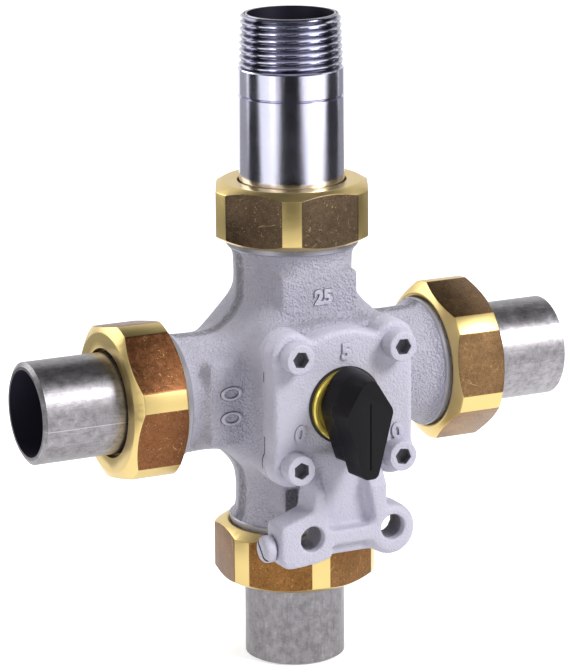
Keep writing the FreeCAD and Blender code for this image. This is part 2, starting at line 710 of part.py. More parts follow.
def knob():
    """Oval skirt under a kite-shaped grip whose pointer reaches past the skirt."""
    foot = knob_section(KNOB_BACK, FOOT_HALF_WIDTH, FOOT_CROWN, FOOT_TIP,
                        (FOOT_CROWN_ROUND, FOOT_SHOULDER_ROUND, FOOT_TIP_ROUND), KNOB_SKIRT_DROP)
    face = knob_section(KNOB_FRONT, FACE_HALF_WIDTH, FACE_CROWN, FACE_TIP,
                        (FACE_CROWN_ROUND, FACE_SHOULDER_ROUND, FACE_TIP_ROUND), KNOB_POINTER_DROP)
    skirt = Part.makeLoft([foot, knob_waist(KNOB_SKIRT_DROP)], True, True)
    grip = Part.makeLoft([knob_waist(KNOB_POINTER_DROP), face], True, True)
    shape = fused([skirt, grip])
    bore = rod(SPINDLE_R, -KNOB_BACK, -SPINDLE_END).cut(flat_at_spindle_end())
    line = Part.makeBox(KNOB_LINE_WIDTH, KNOB_LINE_DEPTH, KNOB_LINE_LENGTH,
                        Vector(-KNOB_LINE_WIDTH / 2, -KNOB_FRONT, -KNOB_POINTER_DROP + KNOB_LINE_START))
    return shape.cut([bore, line])


def all_nodes():
    nodes = {
        "valve_body": valve_body(),
        "cover_plate": cover_plate(),
        "cover_gasket": cover_gasket(),
        "clamp_screw": clamp_screw(),
        "gland_bush": gland_bush(),
        "gland_seal": gland_seal(),
        "rear_bush": rear_bush(),
        "thrust_washer": thrust_washer(),
        "spindle": spindle(),
        "rotor_vane": rotor_vane(),
        "rotor_pin": rotor_pin(),
        "knob": knob(),
    }
    for name, (x, z) in screw_places().items():
        nodes["cover_screw_" + name] = cover_screw(x, z, SCREW_TURNS[name])
    for name, place in zip(("inner", "outer"), O_RING_PLACES):
        nodes["spindle_seal_" + name] = spindle_seal(place)
    for port, values in PORTS.items():
        nodes["union_nut_" + port] = to_port(union_nut(values["nut_turn"]), port)
        nodes["union_gasket_" + port] = to_port(union_gasket(), port)
        if port == "top":
            nodes["threaded_nipple"] = to_port(threaded_nipple(), port)
        else:
            nodes["weld_nipple_" + port] = to_port(weld_nipple(), port)
    return nodes


os.makedirs("parts", exist_ok=True)
for node, shape in all_nodes().items():
    shape.translate(Vector(0, 0, NIPPLE_REACH))
    print(node, len(shape.Solids), shape.isValid())
    shape.exportStep("parts/" + node + ".step")
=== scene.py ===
import contextlib
import json
import math

import bpy
import numpy as np
from mathutils import Matrix, Vector

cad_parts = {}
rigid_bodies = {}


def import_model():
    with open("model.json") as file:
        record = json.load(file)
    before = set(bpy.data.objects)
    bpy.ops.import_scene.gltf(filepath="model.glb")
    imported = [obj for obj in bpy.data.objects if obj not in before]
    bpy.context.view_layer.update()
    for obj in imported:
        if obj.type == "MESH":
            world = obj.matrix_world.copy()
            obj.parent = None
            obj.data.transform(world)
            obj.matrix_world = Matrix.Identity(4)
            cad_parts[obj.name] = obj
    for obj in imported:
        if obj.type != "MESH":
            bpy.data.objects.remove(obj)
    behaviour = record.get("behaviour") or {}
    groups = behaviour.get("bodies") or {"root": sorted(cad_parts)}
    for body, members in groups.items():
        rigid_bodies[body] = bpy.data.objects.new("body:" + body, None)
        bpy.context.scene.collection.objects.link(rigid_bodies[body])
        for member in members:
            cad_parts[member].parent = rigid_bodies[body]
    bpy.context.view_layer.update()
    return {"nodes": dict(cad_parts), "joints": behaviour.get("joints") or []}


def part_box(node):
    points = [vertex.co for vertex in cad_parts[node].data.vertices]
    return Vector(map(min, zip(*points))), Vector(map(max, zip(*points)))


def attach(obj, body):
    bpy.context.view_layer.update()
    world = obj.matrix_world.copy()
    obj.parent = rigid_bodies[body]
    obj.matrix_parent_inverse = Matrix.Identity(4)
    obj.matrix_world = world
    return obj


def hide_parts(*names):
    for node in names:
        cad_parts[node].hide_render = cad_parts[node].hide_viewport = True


bl_info = {
    "name": "Rotary mixing valve looks",
    "version": (1, 0, 0),
    "blender": (4, 5, 0),
    "location": "View3D > Sidebar > Valve",
    "description": "Dresses the packed rotary mixing valve and sets its studio",
    "category": "Object",
}

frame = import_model()

PORTS = {"top": Vector((0, 0, 1)), "right": Vector((1, 0, 0)),
         "bottom": Vector((0, 0, -1)), "left": Vector((-1, 0, 0))}
SCREWS = ("upper_left", "upper_right", "lower_left", "lower_right")
CENTRE = Vector(frame["joints"][0]["pos_m"])

# Half a nut's width across flats, and the bore radius of all four pipe ends
NUT_FLAT = 0.025
PIPE_BORE = 0.01425
# The taper thread: crest radius at its foot and at the rim, its length, and how far short of the rim it stops
THREAD_FOOT, THREAD_RIM = 0.0174, 0.0167
THREAD_LENGTH, THREAD_GAP = 0.0177, 0.0001
# How far forward the dial's face stands
DIAL_FACE = -0.03805
# The bracket's two holes: how far out to each side and how far below the spindle
BRACKET_HOLE_OUT, BRACKET_HOLE_DOWN = 0.01475, 0.0422
# Where the flat pads start and end along a neck, how far forward their faces stand, and their size
PAD_NEAR, PAD_FAR, PAD_FACE = 0.0240, 0.0404, -0.0206
PAD_WIDTH, PAD_THICKNESS, LEFT_PAD_RISE = 0.0284, 0.0086, 0.0005
# How each nut's flats differ from the shared dull brass, as painted light for how light falls on each nut: red,
# green, blue
NUT_PAINTED_LIGHT = {"top": (0.92, 1.08, 1.35), "right": (2.30, 2.30, 2.15),
             "bottom": (1.85, 1.50, 0.95), "left": (1.75, 1.25, 1.05)}
# How much lighter each plain pipe end is than the shared pipe steel
PIPE_LIGHTNESS = {"right": 1.30, "bottom": 1.0, "left": 1.15}
# Flat on the floor, from the valve towards the camera
CAMERA_SIDE = Vector((-0.438, -0.899, 0.0))


# Mesh helpers

def deselect():
    """Leave nothing selected."""
    for obj in bpy.context.view_layer.objects:
        obj.select_set(False)


def only(obj):
    """Leave one object selected and active."""
    deselect()
    obj.select_set(True)
    bpy.context.view_layer.objects.active = obj


def settle(obj):
    """Put an object's place into its mesh."""
    only(obj)
    bpy.ops.object.transform_apply(location=True, rotation=True, scale=True)


@contextlib.contextmanager
def editing(obj):
    """Edit one object's mesh, all of it selected."""
    only(obj)
    bpy.ops.object.mode_set(mode="EDIT")
    bpy.ops.mesh.select_all(action="SELECT")
    yield
    bpy.ops.object.mode_set(mode="OBJECT")


def modify(obj, kind, **settings):
    """Add a modifier with the given settings and apply it."""
    modifier = obj.modifiers.new(kind.title(), kind)
    for key, value in settings.items():
        setattr(modifier, key, value)
    only(obj)
    bpy.ops.object.modifier_apply(modifier=modifier.name)


def bevel(obj, width, segments, degrees):
    """Round the edges sharper than an angle."""
    modify(obj, "BEVEL", width=width, segments=segments, limit_method="ANGLE",
           angle_limit=math.radians(degrees))


def merged_copy(node, name, body):
    """A copy of a CAD node with its loose triangles merged, standing for that node."""
    obj = bpy.data.objects.new(name, frame["nodes"][node].data.copy())
    bpy.context.scene.collection.objects.link(obj)
    obj.data.materials.clear()
    only(obj)
    if obj.data.has_custom_normals:
        bpy.ops.mesh.customdata_custom_splitnormals_clear()
    with editing(obj):
        bpy.ops.mesh.remove_doubles(threshold=1e-6)
    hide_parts(node)
    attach(obj, body)
    return obj


def flattened(obj, degrees=0.6):
    """Join the triangles of each flat face into one face."""
    with editing(obj):
        bpy.ops.mesh.dissolve_limited(angle_limit=math.radians(degrees))


def smooth_shade(obj, degrees=None):
    """Shade smooth all over, or only across edges flatter than the angle."""
    only(obj)
    if degrees is None:
        bpy.ops.object.shade_smooth()
    else:
        bpy.ops.object.shade_smooth_by_angle(angle=math.radians(degrees))


def points_of(mesh):
    """Vertex positions about the valve centre, as an array."""
    co = np.empty(len(mesh.vertices) * 3, dtype=np.float32)
    mesh.vertices.foreach_get("co", co)
    return co.reshape(-1, 3).astype(np.float64) - np.array(CENTRE)


def ramp(value, start, end):
    """0 before start, 1 past end, straight between."""
    return np.clip((value - start) / (end - start), 0.0, 1.0)


def set_group(obj, name, weights):
    """A vertex group from an array of weights, in steps of a twentieth."""
    group = obj.vertex_groups.new(name=name)
    steps = np.round(weights * 20).astype(int)
    for step in range(1, 21):
        chosen = np.nonzero(steps == step)[0]
        group.add([int(i) for i in chosen], step / 20, "REPLACE")
    return group


def mark_crevices(obj, rounds, depth, stained, kept=None):
    """Store on each vertex, as attribute 'crevice', how far it lies in a hollow or in a place of painted
    shadow; the paint turns it into painted shade.
    """
    mesh = obj.data
    points = points_of(mesh)
    edges = np.empty(len(mesh.edges) * 2, dtype=np.int64)
    mesh.edges.foreach_get("vertices", edges)
    edges = edges.reshape(-1, 2)
    normals = np.empty(len(mesh.vertices) * 3, dtype=np.float32)
    mesh.vertices.foreach_get("normal", normals)
    normals = normals.reshape(-1, 3)
    count = np.bincount(edges.ravel(), minlength=len(points)).astype(float)
    count[count == 0] = 1.0
    soft = points.copy()
    for _ in range(rounds):
        total = np.zeros_like(soft)
        for axis in range(3):
            total[:, axis] = (np.bincount(edges[:, 0], soft[edges[:, 1], axis], len(points))
                              + np.bincount(edges[:, 1], soft[edges[:, 0], axis], len(points)))
        soft = 0.5 * soft + 0.5 * total / count[:, None]
    hollow = 0.6 * np.einsum("ij,ij->i", soft - points, normals) / depth
    hollow = np.clip(hollow, -1.0, 1.0) * (kept(*points.T) if kept else 1.0)
    attribute = mesh.attributes.new("crevice", "FLOAT", "POINT")
    attribute.data.foreach_set("value", np.maximum(hollow, stained(*points.T)).astype(np.float32))


# Material helpers

def node(tree, kind, **inputs):
    """Add a shader node; plain keywords are its settings, 'in_' keywords fill its sockets."""
    made = tree.nodes.new(kind)
    for key, value in inputs.items():
        if not key.startswith("in_"):
            setattr(made, key, value)
    for key, value in inputs.items():
        if key.startswith("in_"):
            socket = made.inputs[int(key[3:])] if key[3:].isdigit() else made.inputs[key[3:].replace("_", " ")]
            if isinstance(value, bpy.types.NodeSocket):
                tree.links.new(value, socket)
            else:
                socket.default_value = value
    return made


def maths(tree, operation, *values, clamp=False):
    """Arithmetic on sockets and numbers."""
    inputs = {f"in_{i}": value for i, value in enumerate(values)}
    return node(tree, "ShaderNodeMath", operation=operation, use_clamp=clamp, **inputs).outputs[0]


def product(tree, first, second, clamp=False):
    return maths(tree, "MULTIPLY", first, second, clamp=clamp)


def blend(tree, factor, first, second):
    """Mix two colours."""
    mix = tree.nodes.new("ShaderNodeMix")
    mix.data_type = "RGBA"
    for index, value in ((0, factor), (6, first), (7, second)):
        if isinstance(value, bpy.types.NodeSocket):
            tree.links.new(value, mix.inputs[index])
        else:
            mix.inputs[index].default_value = value
    return mix.outputs[2]


def steps_between(tree, value, low, high, out_low=0.0, out_high=1.0):
    """Smooth step from low to high."""
    return node(tree, "ShaderNodeMapRange", interpolation_type="SMOOTHSTEP", in_0=value, in_1=low, in_2=high,
                in_3=out_low, in_4=out_high).outputs[0]


def colour(rgb, times=1.0):
    """A socket's colour, made lighter or darker."""
    return tuple(min(1.0, part * times) for part in rgb) + (1.0,)


def noise(tree, vector, scale, detail, **more):
    """Noise from 0 to 1 over the surface."""
    made = node(tree, "ShaderNodeTexNoise", in_Vector=vector, in_Scale=scale, in_Detail=detail, **more)
    return made.outputs["Fac"]


def rings_along(tree, away, lines):
    """Fine turning marks, so many to the metre."""
    return node(tree, "ShaderNodeTexNoise", noise_dimensions="1D", in_W=away, in_Scale=lines,
                in_Detail=2.0).outputs["Fac"]


def vector_maths(tree, operation, first, second):
    return node(tree, "ShaderNodeVectorMath", operation=operation, in_0=first, in_1=second).outputs[0]


def reach_along(tree, vector, axis):
    """How far a place lies along an axis."""
    return node(tree, "ShaderNodeVectorMath", operation="DOT_PRODUCT", in_0=vector,
                in_1=tuple(axis)).outputs["Value"]


def length_of(tree, vector):
    return node(tree, "ShaderNodeVectorMath", operation="LENGTH", in_0=vector).outputs["Value"]


def new_group(name, inputs, outputs):
    """An empty shader node group with the given sockets; returns tree, inputs node and outputs node."""
    tree = bpy.data.node_groups.new(name, "ShaderNodeTree")
    for label, kind, default in inputs:
        socket = tree.interface.new_socket(name=label, in_out="INPUT", socket_type=kind)
        if default is not None:
            socket.default_value = default
    for label, kind in outputs:
        tree.interface.new_socket(name=label, in_out="OUTPUT", socket_type=kind)
    return tree, tree.nodes.new("NodeGroupInput"), tree.nodes.new("NodeGroupOutput")


def cast_grain_group():
    """Height of sand-cast skin under paint, and dark specks in its pits."""
    tree, given, out = new_group("cast_grain", [
        ("Vector", "NodeSocketVector", None), ("Grain", "NodeSocketFloat", 1500.0),
        ("Swell", "NodeSocketFloat", 0.5)], [("Height", "NodeSocketFloat"), ("Speck", "NodeSocketFloat")])
    fine = noise(tree, given.outputs[0], given.outputs[1], 4.0, in_Roughness=0.62)
    cells = node(tree, "ShaderNodeTexVoronoi", feature="SMOOTH_F1", in_Vector=given.outputs[0],
                 in_Scale=given.outputs[1], in_Smoothness=0.6)
    broad = noise(tree, given.outputs[0], 170.0, 3.0)
    skin = maths(tree, "ADD", fine, product(tree, cells.outputs["Distance"], 0.6))
    swell = product(tree, broad, given.outputs[2])
    tree.links.new(maths(tree, "ADD", skin, swell), out.inputs["Height"])
    tree.links.new(steps_between(tree, fine, 0.36, 0.26), out.inputs["Speck"])
    return tree


def blotch_group():
    """Slow uneven tone, from -1 to 1."""
    tree, given, out = new_group("blotches", [
        ("Vector", "NodeSocketVector", None),
        ("Scale", "NodeSocketFloat", 60.0)], [("Tone", "NodeSocketFloat")])
    cloud = noise(tree, given.outputs[0], given.outputs[1], 5.0, in_Roughness=0.6)
    tree.links.new(maths(tree, "MULTIPLY_ADD", cloud, 4.0, -2.0), out.inputs["Tone"])
    return tree


def scratch_group():
    """Fine scratches in three directions, as a mask."""
    tree, given, out = new_group("handling_marks", [
        ("Vector", "NodeSocketVector", None),
        ("Amount", "NodeSocketFloat", 0.5)], [("Mask", "NodeSocketFloat")])
    marks = None
    for turn, stretch in (((0.5, 0.9, 0.3), 14.0), ((0.2, -0.6, 1.2), 20.0), ((1.1, 0.1, 0.6), 9.0)):
        turned = node(tree, "ShaderNodeMapping", vector_type="TEXTURE", in_Vector=given.outputs[0],
                      in_Rotation=turn, in_Scale=(1.0 / stretch, 1.0, 1.0))
        line = steps_between(tree, noise(tree, turned.outputs[0], 130.0, 3.0, in_Distortion=0.4), 0.68, 0.76)
        marks = line if marks is None else maths(tree, "MAXIMUM", marks, line)
    tree.links.new(product(tree, marks, given.outputs[1], clamp=True), out.inputs["Mask"])
    return tree


GROUPS = {"cast_grain": cast_grain_group, "blotches": blotch_group, "handling_marks": scratch_group}


def effect(tree, name, **inputs):
    """Place a shared effect group, building it the first time."""
    group = bpy.data.node_groups.get(name) or GROUPS[name]()
    made = tree.nodes.new("ShaderNodeGroup")
    made.node_tree = group
    for key, value in inputs.items():
        if isinstance(value, bpy.types.NodeSocket):
            tree.links.new(value, made.inputs[key])
        else:
            made.inputs[key].default_value = value
    return made


def new_material(name):
    """A material with a bare Principled shader; returns material, tree, shader and object coordinates."""
    material = bpy.data.materials.new(name)
    material.use_nodes = True
    tree = material.node_tree
    shader = tree.nodes["Principled BSDF"]
    place = tree.nodes.new("ShaderNodeTexCoord").outputs["Object"]
    return material, tree, shader, place


def wire(tree, shader, **sockets):
    """Fill a shader's sockets, from links or plain values."""
    for key, value in sockets.items():
        socket = shader.inputs[key.replace("_", " ")]
        if isinstance(value, bpy.types.NodeSocket):
            tree.links.new(value, socket)
        else:
            socket.default_value = value


def bump(tree, height, distance, strength=1.0):
    return node(tree, "ShaderNodeBump", in_Height=height, in_Distance=distance, in_Strength=strength).outputs[0]


def paint_material(name, looks, grain, painted_shade, seam=False, edges=0.0):
    """Satin grey paint over a casting, with dark specks in its pits, painted shade in the hollows and, for
    raised marks, painted shade down their edges.
    """
    material, tree, shader, place = new_material(name)
    skin = effect(tree, "cast_grain", Vector=place, Grain=looks.cast_grain, Swell=0.9)
    tone = effect(tree, "blotches", Vector=place, Scale=70.0).outputs["Tone"]
    # Painted shade: the 'crevice' attribute darkens hollows and shadowed spots towards the grime colour
    hollow = node(tree, "ShaderNodeAttribute", attribute_name="crevice").outputs["Fac"]
    deep = steps_between(tree, maths(tree, "ADD", hollow, product(tree, tone, 0.10)), 0.16, 0.75)
    base = blend(tree, maths(tree, "MULTIPLY_ADD", tone, 0.10, 0.5, clamp=True), colour(looks.paint, 0.93),
                 colour(looks.paint, 1.06))
    specks = product(tree, skin.outputs["Speck"], 0.28)
    base = blend(tree, specks, base, colour(looks.grime_and_shade))
    base = blend(tree, product(tree, deep, painted_shade), base, colour(looks.grime_and_shade))
    height = skin.outputs["Height"]
    if seam:
        parts = node(tree, "ShaderNodeSeparateXYZ", in_0=place)
        rough = noise(tree, place, 850.0, 4.0, in_Roughness=0.7)
        wander = maths(tree, "MULTIPLY_ADD", noise(tree, place, 140.0, 2.0), 0.0016, -0.0008)
        off = maths(tree, "ABSOLUTE", maths(tree, "ADD", parts.outputs[1], wander))
        band = steps_between(tree, off, 0.0040, 0.0004)
        torn = steps_between(tree, rough, 0.42, 0.60)
        height = maths(tree, "ADD", height, product(tree, product(tree, band, torn), 1.5))
        pits = product(tree, band, steps_between(tree, rough, 0.54, 0.44))
        base = blend(tree, product(tree, pits, 0.38), base, colour(looks.grime_and_shade))
    if edges:
        # Painted shade: the sideways-facing sides of raised marks are darkened, standing in for their shadows
        facing = node(tree, "ShaderNodeNewGeometry").outputs["Normal"]
        front = maths(tree, "ABSOLUTE", node(tree, "ShaderNodeSeparateXYZ", in_0=facing).outputs[1])
        base = blend(tree, steps_between(tree, front, 0.85, 0.35, 0.0, edges), base, colour(looks.grime_and_shade))
    wire(tree, shader, Base_Color=base, Roughness=maths(tree, "MULTIPLY_ADD", tone, 0.04, 0.40),
         Normal=bump(tree, height, 0.00062 * grain, 1.0), Specular_IOR_Level=0.45)
    return material


def split_paint_material(name, looks, middle):
    """The same paint, with two short dark splits along the joint on the left side."""
    material = paint_material(name, looks, 0.9, 0.0)
    tree = material.node_tree
    shader = tree.nodes["Principled BSDF"]
    painted = shader.inputs["Base Color"].links[0].from_socket
    place = tree.nodes.new("ShaderNodeTexCoord").outputs["Object"]
    parts = node(tree, "ShaderNodeSeparateXYZ", in_0=place)
    wander = noise(tree, place, 260.0, 2.0)
    off = maths(tree, "ADD", maths(tree, "SUBTRACT", parts.outputs[1], middle.y),
                maths(tree, "MULTIPLY_ADD", wander, 0.0010, -0.0005))
    line = steps_between(tree, maths(tree, "ABSOLUTE", off), 0.00042, 0.00024)
    left = steps_between(tree, parts.outputs[0], -0.0225, -0.0235)
    splits = None
    for low, high in ((0.0085, 0.0128), (-0.0205, -0.0090)):
        along = maths(tree, "SUBTRACT", parts.outputs[2], CENTRE.z + (low + high) / 2)
        half = (high - low) / 2
        stretch = steps_between(tree, maths(tree, "ABSOLUTE", along), half, half - 0.0008)
        splits = stretch if splits is None else maths(tree, "MAXIMUM", splits, stretch)
    mask = product(tree, product(tree, line, left), splits)
    wire(tree, shader, Base_Color=blend(tree, mask, painted, (0.01, 0.01, 0.012, 1.0)))
    return material


def brass_nut_material(name, looks, axis, turn, darkest):
    """Brass nut: bright where it was turned, dull brown on the pressed flats."""
    material, tree, shader, place = new_material(name)
    centred = vector_maths(tree, "SUBTRACT", place, tuple(CENTRE))
    side, other = sideways(axis)
    reach = None
    for k in range(3):
        angle = turn + k * math.pi / 3
        normal = side * math.cos(angle) + other * math.sin(angle)
        width = maths(tree, "ABSOLUTE", reach_along(tree, centred, normal))
        reach = width if reach is None else maths(tree, "MAXIMUM", reach, width)
    flat = steps_between(tree, reach, NUT_FLAT - 0.00016, NUT_FLAT - 0.00006)
    tone = effect(tree, "blotches", Vector=place, Scale=95.0).outputs["Tone"]
    fine = effect(tree, "blotches", Vector=place, Scale=520.0).outputs["Tone"]
    marks = effect(tree, "handling_marks", Vector=place, Amount=0.8).outputs["Mask"]
    specks = noise(tree, place, 1500.0, 2.0)
    dull = blend(tree, maths(tree, "MULTIPLY_ADD", tone, 0.5, 0.5, clamp=True), colour(darkest),
                 colour(darkest, 1.9))
    dull = blend(tree, maths(tree, "MULTIPLY_ADD", fine, 0.4, 0.10, clamp=True), dull, colour(darkest, 2.6))
    worn = noise(tree, place, 1900.0, 3.0, in_Distortion=1.2)
    dull = blend(tree, product(tree, steps_between(tree, worn, 0.50, 0.36), 0.55), dull,
                 colour(darkest, 0.45))
    dull = blend(tree, product(tree, marks, 0.40), dull, colour(looks.brass_bright))
    dull = blend(tree, product(tree, steps_between(tree, specks, 0.66, 0.74), 0.45), dull,
                 colour(looks.brass_bright))
    bright = blend(tree, maths(tree, "MULTIPLY_ADD", tone, 0.2, 0.3, clamp=True), colour(looks.brass_bright),
                   colour(looks.brass_bright, 0.86))
    rough_flat = maths(tree, "MULTIPLY_ADD", fine, 0.07, 0.36)
    rough = maths(tree, "ADD", product(tree, flat, rough_flat),
                  product(tree, maths(tree, "SUBTRACT", 1.0, flat), 0.34))
    rings = rings_along(tree, reach_along(tree, centred, axis), 5200.0)
    skin = noise(tree, place, 900.0, 3.0)
    height = blend(tree, flat, rings, skin)
    wire(tree, shader, Base_Color=blend(tree, flat, bright, dull), Metallic=1.0, Roughness=rough,
         Normal=bump(tree, height, 0.00004, 0.6))
    return material


def turned_metal_material(name, base_colour, roughness, axis, lines=5200.0, marked=0.5, ring_depth=0.00003,
                          bore=0.0, weld=None, crests=None, mottle=0.0):
    """Turned or drawn metal: fine rings about an axis and light scratches.

    bore: radius inside which it is dull, with painted shade in the bore. weld: how far round from the front a
    pipe's seam lies.
    crests: radius, narrowing and start of a thread whose grooves get painted shade. mottle: how uneven drawn
    pipe is.
    """
    material, tree, shader, place = new_material(name)
    centred = vector_maths(tree, "SUBTRACT", place, tuple(CENTRE))
    away = reach_along(tree, centred, axis)
    rings = rings_along(tree, away, lines)
    tone = effect(tree, "blotches", Vector=place, Scale=60.0).outputs["Tone"]
    fine = effect(tree, "blotches", Vector=place, Scale=700.0).outputs["Tone"]
    marks = effect(tree, "handling_marks", Vector=place, Amount=marked).outputs["Mask"]
    base = blend(tree, maths(tree, "MULTIPLY_ADD", tone, 0.22, 0.5, clamp=True), colour(base_colour, 0.84),
                 colour(base_colour, 1.12))
    base = blend(tree, maths(tree, "MULTIPLY_ADD", fine, 0.25 * marked, 0.0, clamp=True), base,
                 colour(base_colour, 0.6))
    base = blend(tree, product(tree, marks, 0.5), base, colour(base_colour, 1.5))
    rough = maths(tree, "MULTIPLY_ADD", tone, 0.05, roughness)
    if mottle:
        patches = noise(tree, place, 330.0, 6.0, in_Roughness=0.78)
        drawn = node(tree, "ShaderNodeMapping", vector_type="POINT", in_Vector=centred,
                     in_Scale=tuple(1.0 - 0.88 * abs(part) for part in axis))
        streaks = noise(tree, drawn.outputs[0], 1500.0, 3.0)
        for pattern, low, high, strength, times in (
                (patches, 0.54, 0.36, 0.75, 0.42), (patches, 0.54, 0.70, 0.7, 1.7),
                (streaks, 0.52, 0.66, 0.5, 0.5)):
            share = product(tree, steps_between(tree, pattern, low, high), strength * mottle)
            base = blend(tree, share, base, colour(base_colour, times))
        rough = maths(tree, "ADD", rough, maths(tree, "MULTIPLY_ADD", patches, 0.24 * mottle, -0.12 * mottle))
    if weld is not None:
        across = reach_along(tree, centred, (0, math.sin(weld), math.cos(weld)))
        outward = reach_along(tree, centred, (0, -math.cos(weld), math.sin(weld)))
        line = product(tree, steps_between(tree, maths(tree, "ABSOLUTE", across), 0.00022, 0.00008),
                     steps_between(tree, outward, 0.0, 0.001))
        base = blend(tree, product(tree, line, 0.42), base, colour(base_colour, 2.2))
    if bore or crests:
        flat = node(tree, "ShaderNodeVectorMath", operation="SCALE", in_0=tuple(axis), in_Scale=away).outputs[0]
        reach = length_of(tree, vector_maths(tree, "SUBTRACT", centred, flat))
    if crests:
        crest, narrowing, start = crests
        along = maths(tree, "MAXIMUM", maths(tree, "SUBTRACT", away, start), 0.0)
        upright = maths(tree, "ADD", reach, product(tree, along, narrowing))
        # Painted shade in the thread's grooves, a bluish dark below the crests
        low = steps_between(tree, upright, crest - 0.00022, crest - 0.00085)
        base = blend(tree, product(tree, low, 0.62), base, (0.035, 0.035, 0.065, 1.0))
    if bore:
        # Painted shade inside the pipe bore
        inside = steps_between(tree, reach, bore + 0.00020, bore + 0.00005)
        base = blend(tree, inside, base, (0.050, 0.045, 0.070, 1.0))
        rough = maths(tree, "ADD", rough, product(tree, inside, 0.35))
    wire(tree, shader, Base_Color=base, Metallic=1.0, Roughness=rough,
         Normal=bump(tree, maths(tree, "SUBTRACT", rings, product(tree, marks, 0.6)), ring_depth, 0.5))
    return material


def plain_material(name, base_colour, roughness, metallic=0.0, grain=900.0, depth=0.00003):
    """Moulded or cast stuff: one colour, slightly uneven, with a fine grain."""
    material, tree, shader, place = new_material(name)
    tone = effect(tree, "blotches", Vector=place, Scale=120.0).outputs["Tone"]
    base = blend(tree, maths(tree, "MULTIPLY_ADD", tone, 0.2, 0.5, clamp=True), colour(base_colour, 0.85),
                 colour(base_colour, 1.15))
    skin = noise(tree, place, grain, 3.0)
    rough = maths(tree, "MULTIPLY_ADD", tone, 0.04, roughness)
    wire(tree, shader, Base_Color=base, Metallic=metallic, Roughness=rough, Normal=bump(tree, skin, depth, 0.6))
    return material


def give(obj, material):
    """Leave a piece with one material."""
    if obj.data.materials:
        for index in range(len(obj.data.materials)):
            obj.material_slots[index].material = material
    else:
        obj.data.materials.append(material)


def sideways(axis):
    """Two directions square to an axis and to each other."""
    side = Vector((0, 1, 0))
    return side, axis.cross(side)


# Sizes and colours that a user would change

def length_setting(name, description, default):
    return bpy.props.FloatProperty(name=name, description=description, default=default, unit="LENGTH")


def colour_setting(name, description, default):
    return bpy.props.FloatVectorProperty(name=name, description=description, default=default, subtype="COLOR")


class ValveLooks(bpy.types.PropertyGroup):
    """Sizes and colours that the panel shows."""
    body_mesh: length_setting(
        "Body mesh", "Mesh size of the cast body", 0.00095)
    cover_mesh: length_setting(
        "Cover mesh", "Mesh size of the cast cover", 0.0006)
    pad_edge: length_setting(
        "Pad edge", "Rounding of the flat pads' edges", 0.0008)
    body_blend: bpy.props.IntProperty(
        name="Body blending", description="How far the body's corners run into each other", default=14)
    shoulder_blend: bpy.props.IntProperty(
        name="Shoulder blending", description="How far the corners between the necks are filled", default=110)
    cover_blend: bpy.props.IntProperty(
        name="Cover blending", description="How far the bracket's corners run into each other", default=22)
    cast_grain: bpy.props.FloatProperty(
        name="Cast grain", description="Grains for each metre of casting", default=1300.0)
    thread_pitch: length_setting(
        "Thread pitch", "Pitch of the taper pipe thread", 0.002309)
    thread_depth: length_setting(
        "Thread depth", "Depth of the taper pipe thread", 0.00135)
    nut_edge: length_setting(
        "Nut edge", "Rounding of the nuts' edges", 0.00022)
    digit_height: length_setting(
        "Digit height", "Height of the dial's digits", 0.0052)
    paint: colour_setting(
        "Paint", "Colour of the paint", (0.60, 0.585, 0.70))
    # Dark specks in the cast pits and the seam, and the painted shade in hollows and down raised marks' sides
    grime_and_shade: colour_setting(
        "Grime", "Colour of the dirt in hollows", (0.06, 0.06, 0.07))
    brass_bright: colour_setting(
        "Bright brass", "Colour of turned brass", (0.76, 0.58, 0.24))
    brass_dull: colour_setting(
        "Dull brass", "Colour of the nuts' pressed flats", (0.074, 0.043, 0.022))
    pipe: colour_setting(
        "Pipe steel", "Colour of the plain pipe ends", (0.27, 0.258, 0.275))
    rim: colour_setting(
        "Rims", "Colour of the turned rims at the necks' mouths", (0.36, 0.36, 0.42))
    machined: colour_setting(
        "Machined steel", "Colour of the threaded end", (0.68, 0.68, 0.83))
    plastic: colour_setting(
        "Knob plastic", "Colour of the knob", (0.005, 0.0045, 0.006))


def looks_of(context):
    return context.scene.valve_looks


# Turned shapes

def turned_piece(name, rings, sides=112):
    """Model a turned ring about the upright port axis: a circle extruded and resized from ring to ring."""
    deselect()
    radius, height = rings[0]
    bpy.ops.mesh.primitive_circle_add(vertices=sides, radius=radius, location=CENTRE + Vector((0, 0, height)))
    piece = bpy.context.object
    piece.name = name
    settle(piece)
    with editing(piece):
        for next_radius, next_height in rings[1:] + rings[:1]:
            bpy.ops.mesh.extrude_edges_move(TRANSFORM_OT_translate={"value": (0, 0, next_height - height)})
            scale = next_radius / radius
            middle = CENTRE + Vector((0, 0, next_height))
            bpy.ops.transform.resize(value=(scale, scale, 1), center_override=middle)
            radius, height = next_radius, next_height
        bpy.ops.mesh.select_all(action="SELECT")
        bpy.ops.mesh.remove_doubles(threshold=2e-6)
        bpy.ops.mesh.normals_make_consistent(inside=False)
    return piece


def port_ring(name, port, radii, places):
    """A closed turned ring about one port's axis, its places measured from the valve centre."""
    ring = turned_piece(name, list(zip(radii, places)))
    turn = {"top": 0.0, "right": math.pi / 2, "bottom": math.pi, "left": -math.pi / 2}[port]
    with editing(ring):
        bpy.ops.transform.rotate(value=-turn, orient_axis="Y", orient_type="GLOBAL", center_override=CENTRE)
    return ring


# Cast pieces

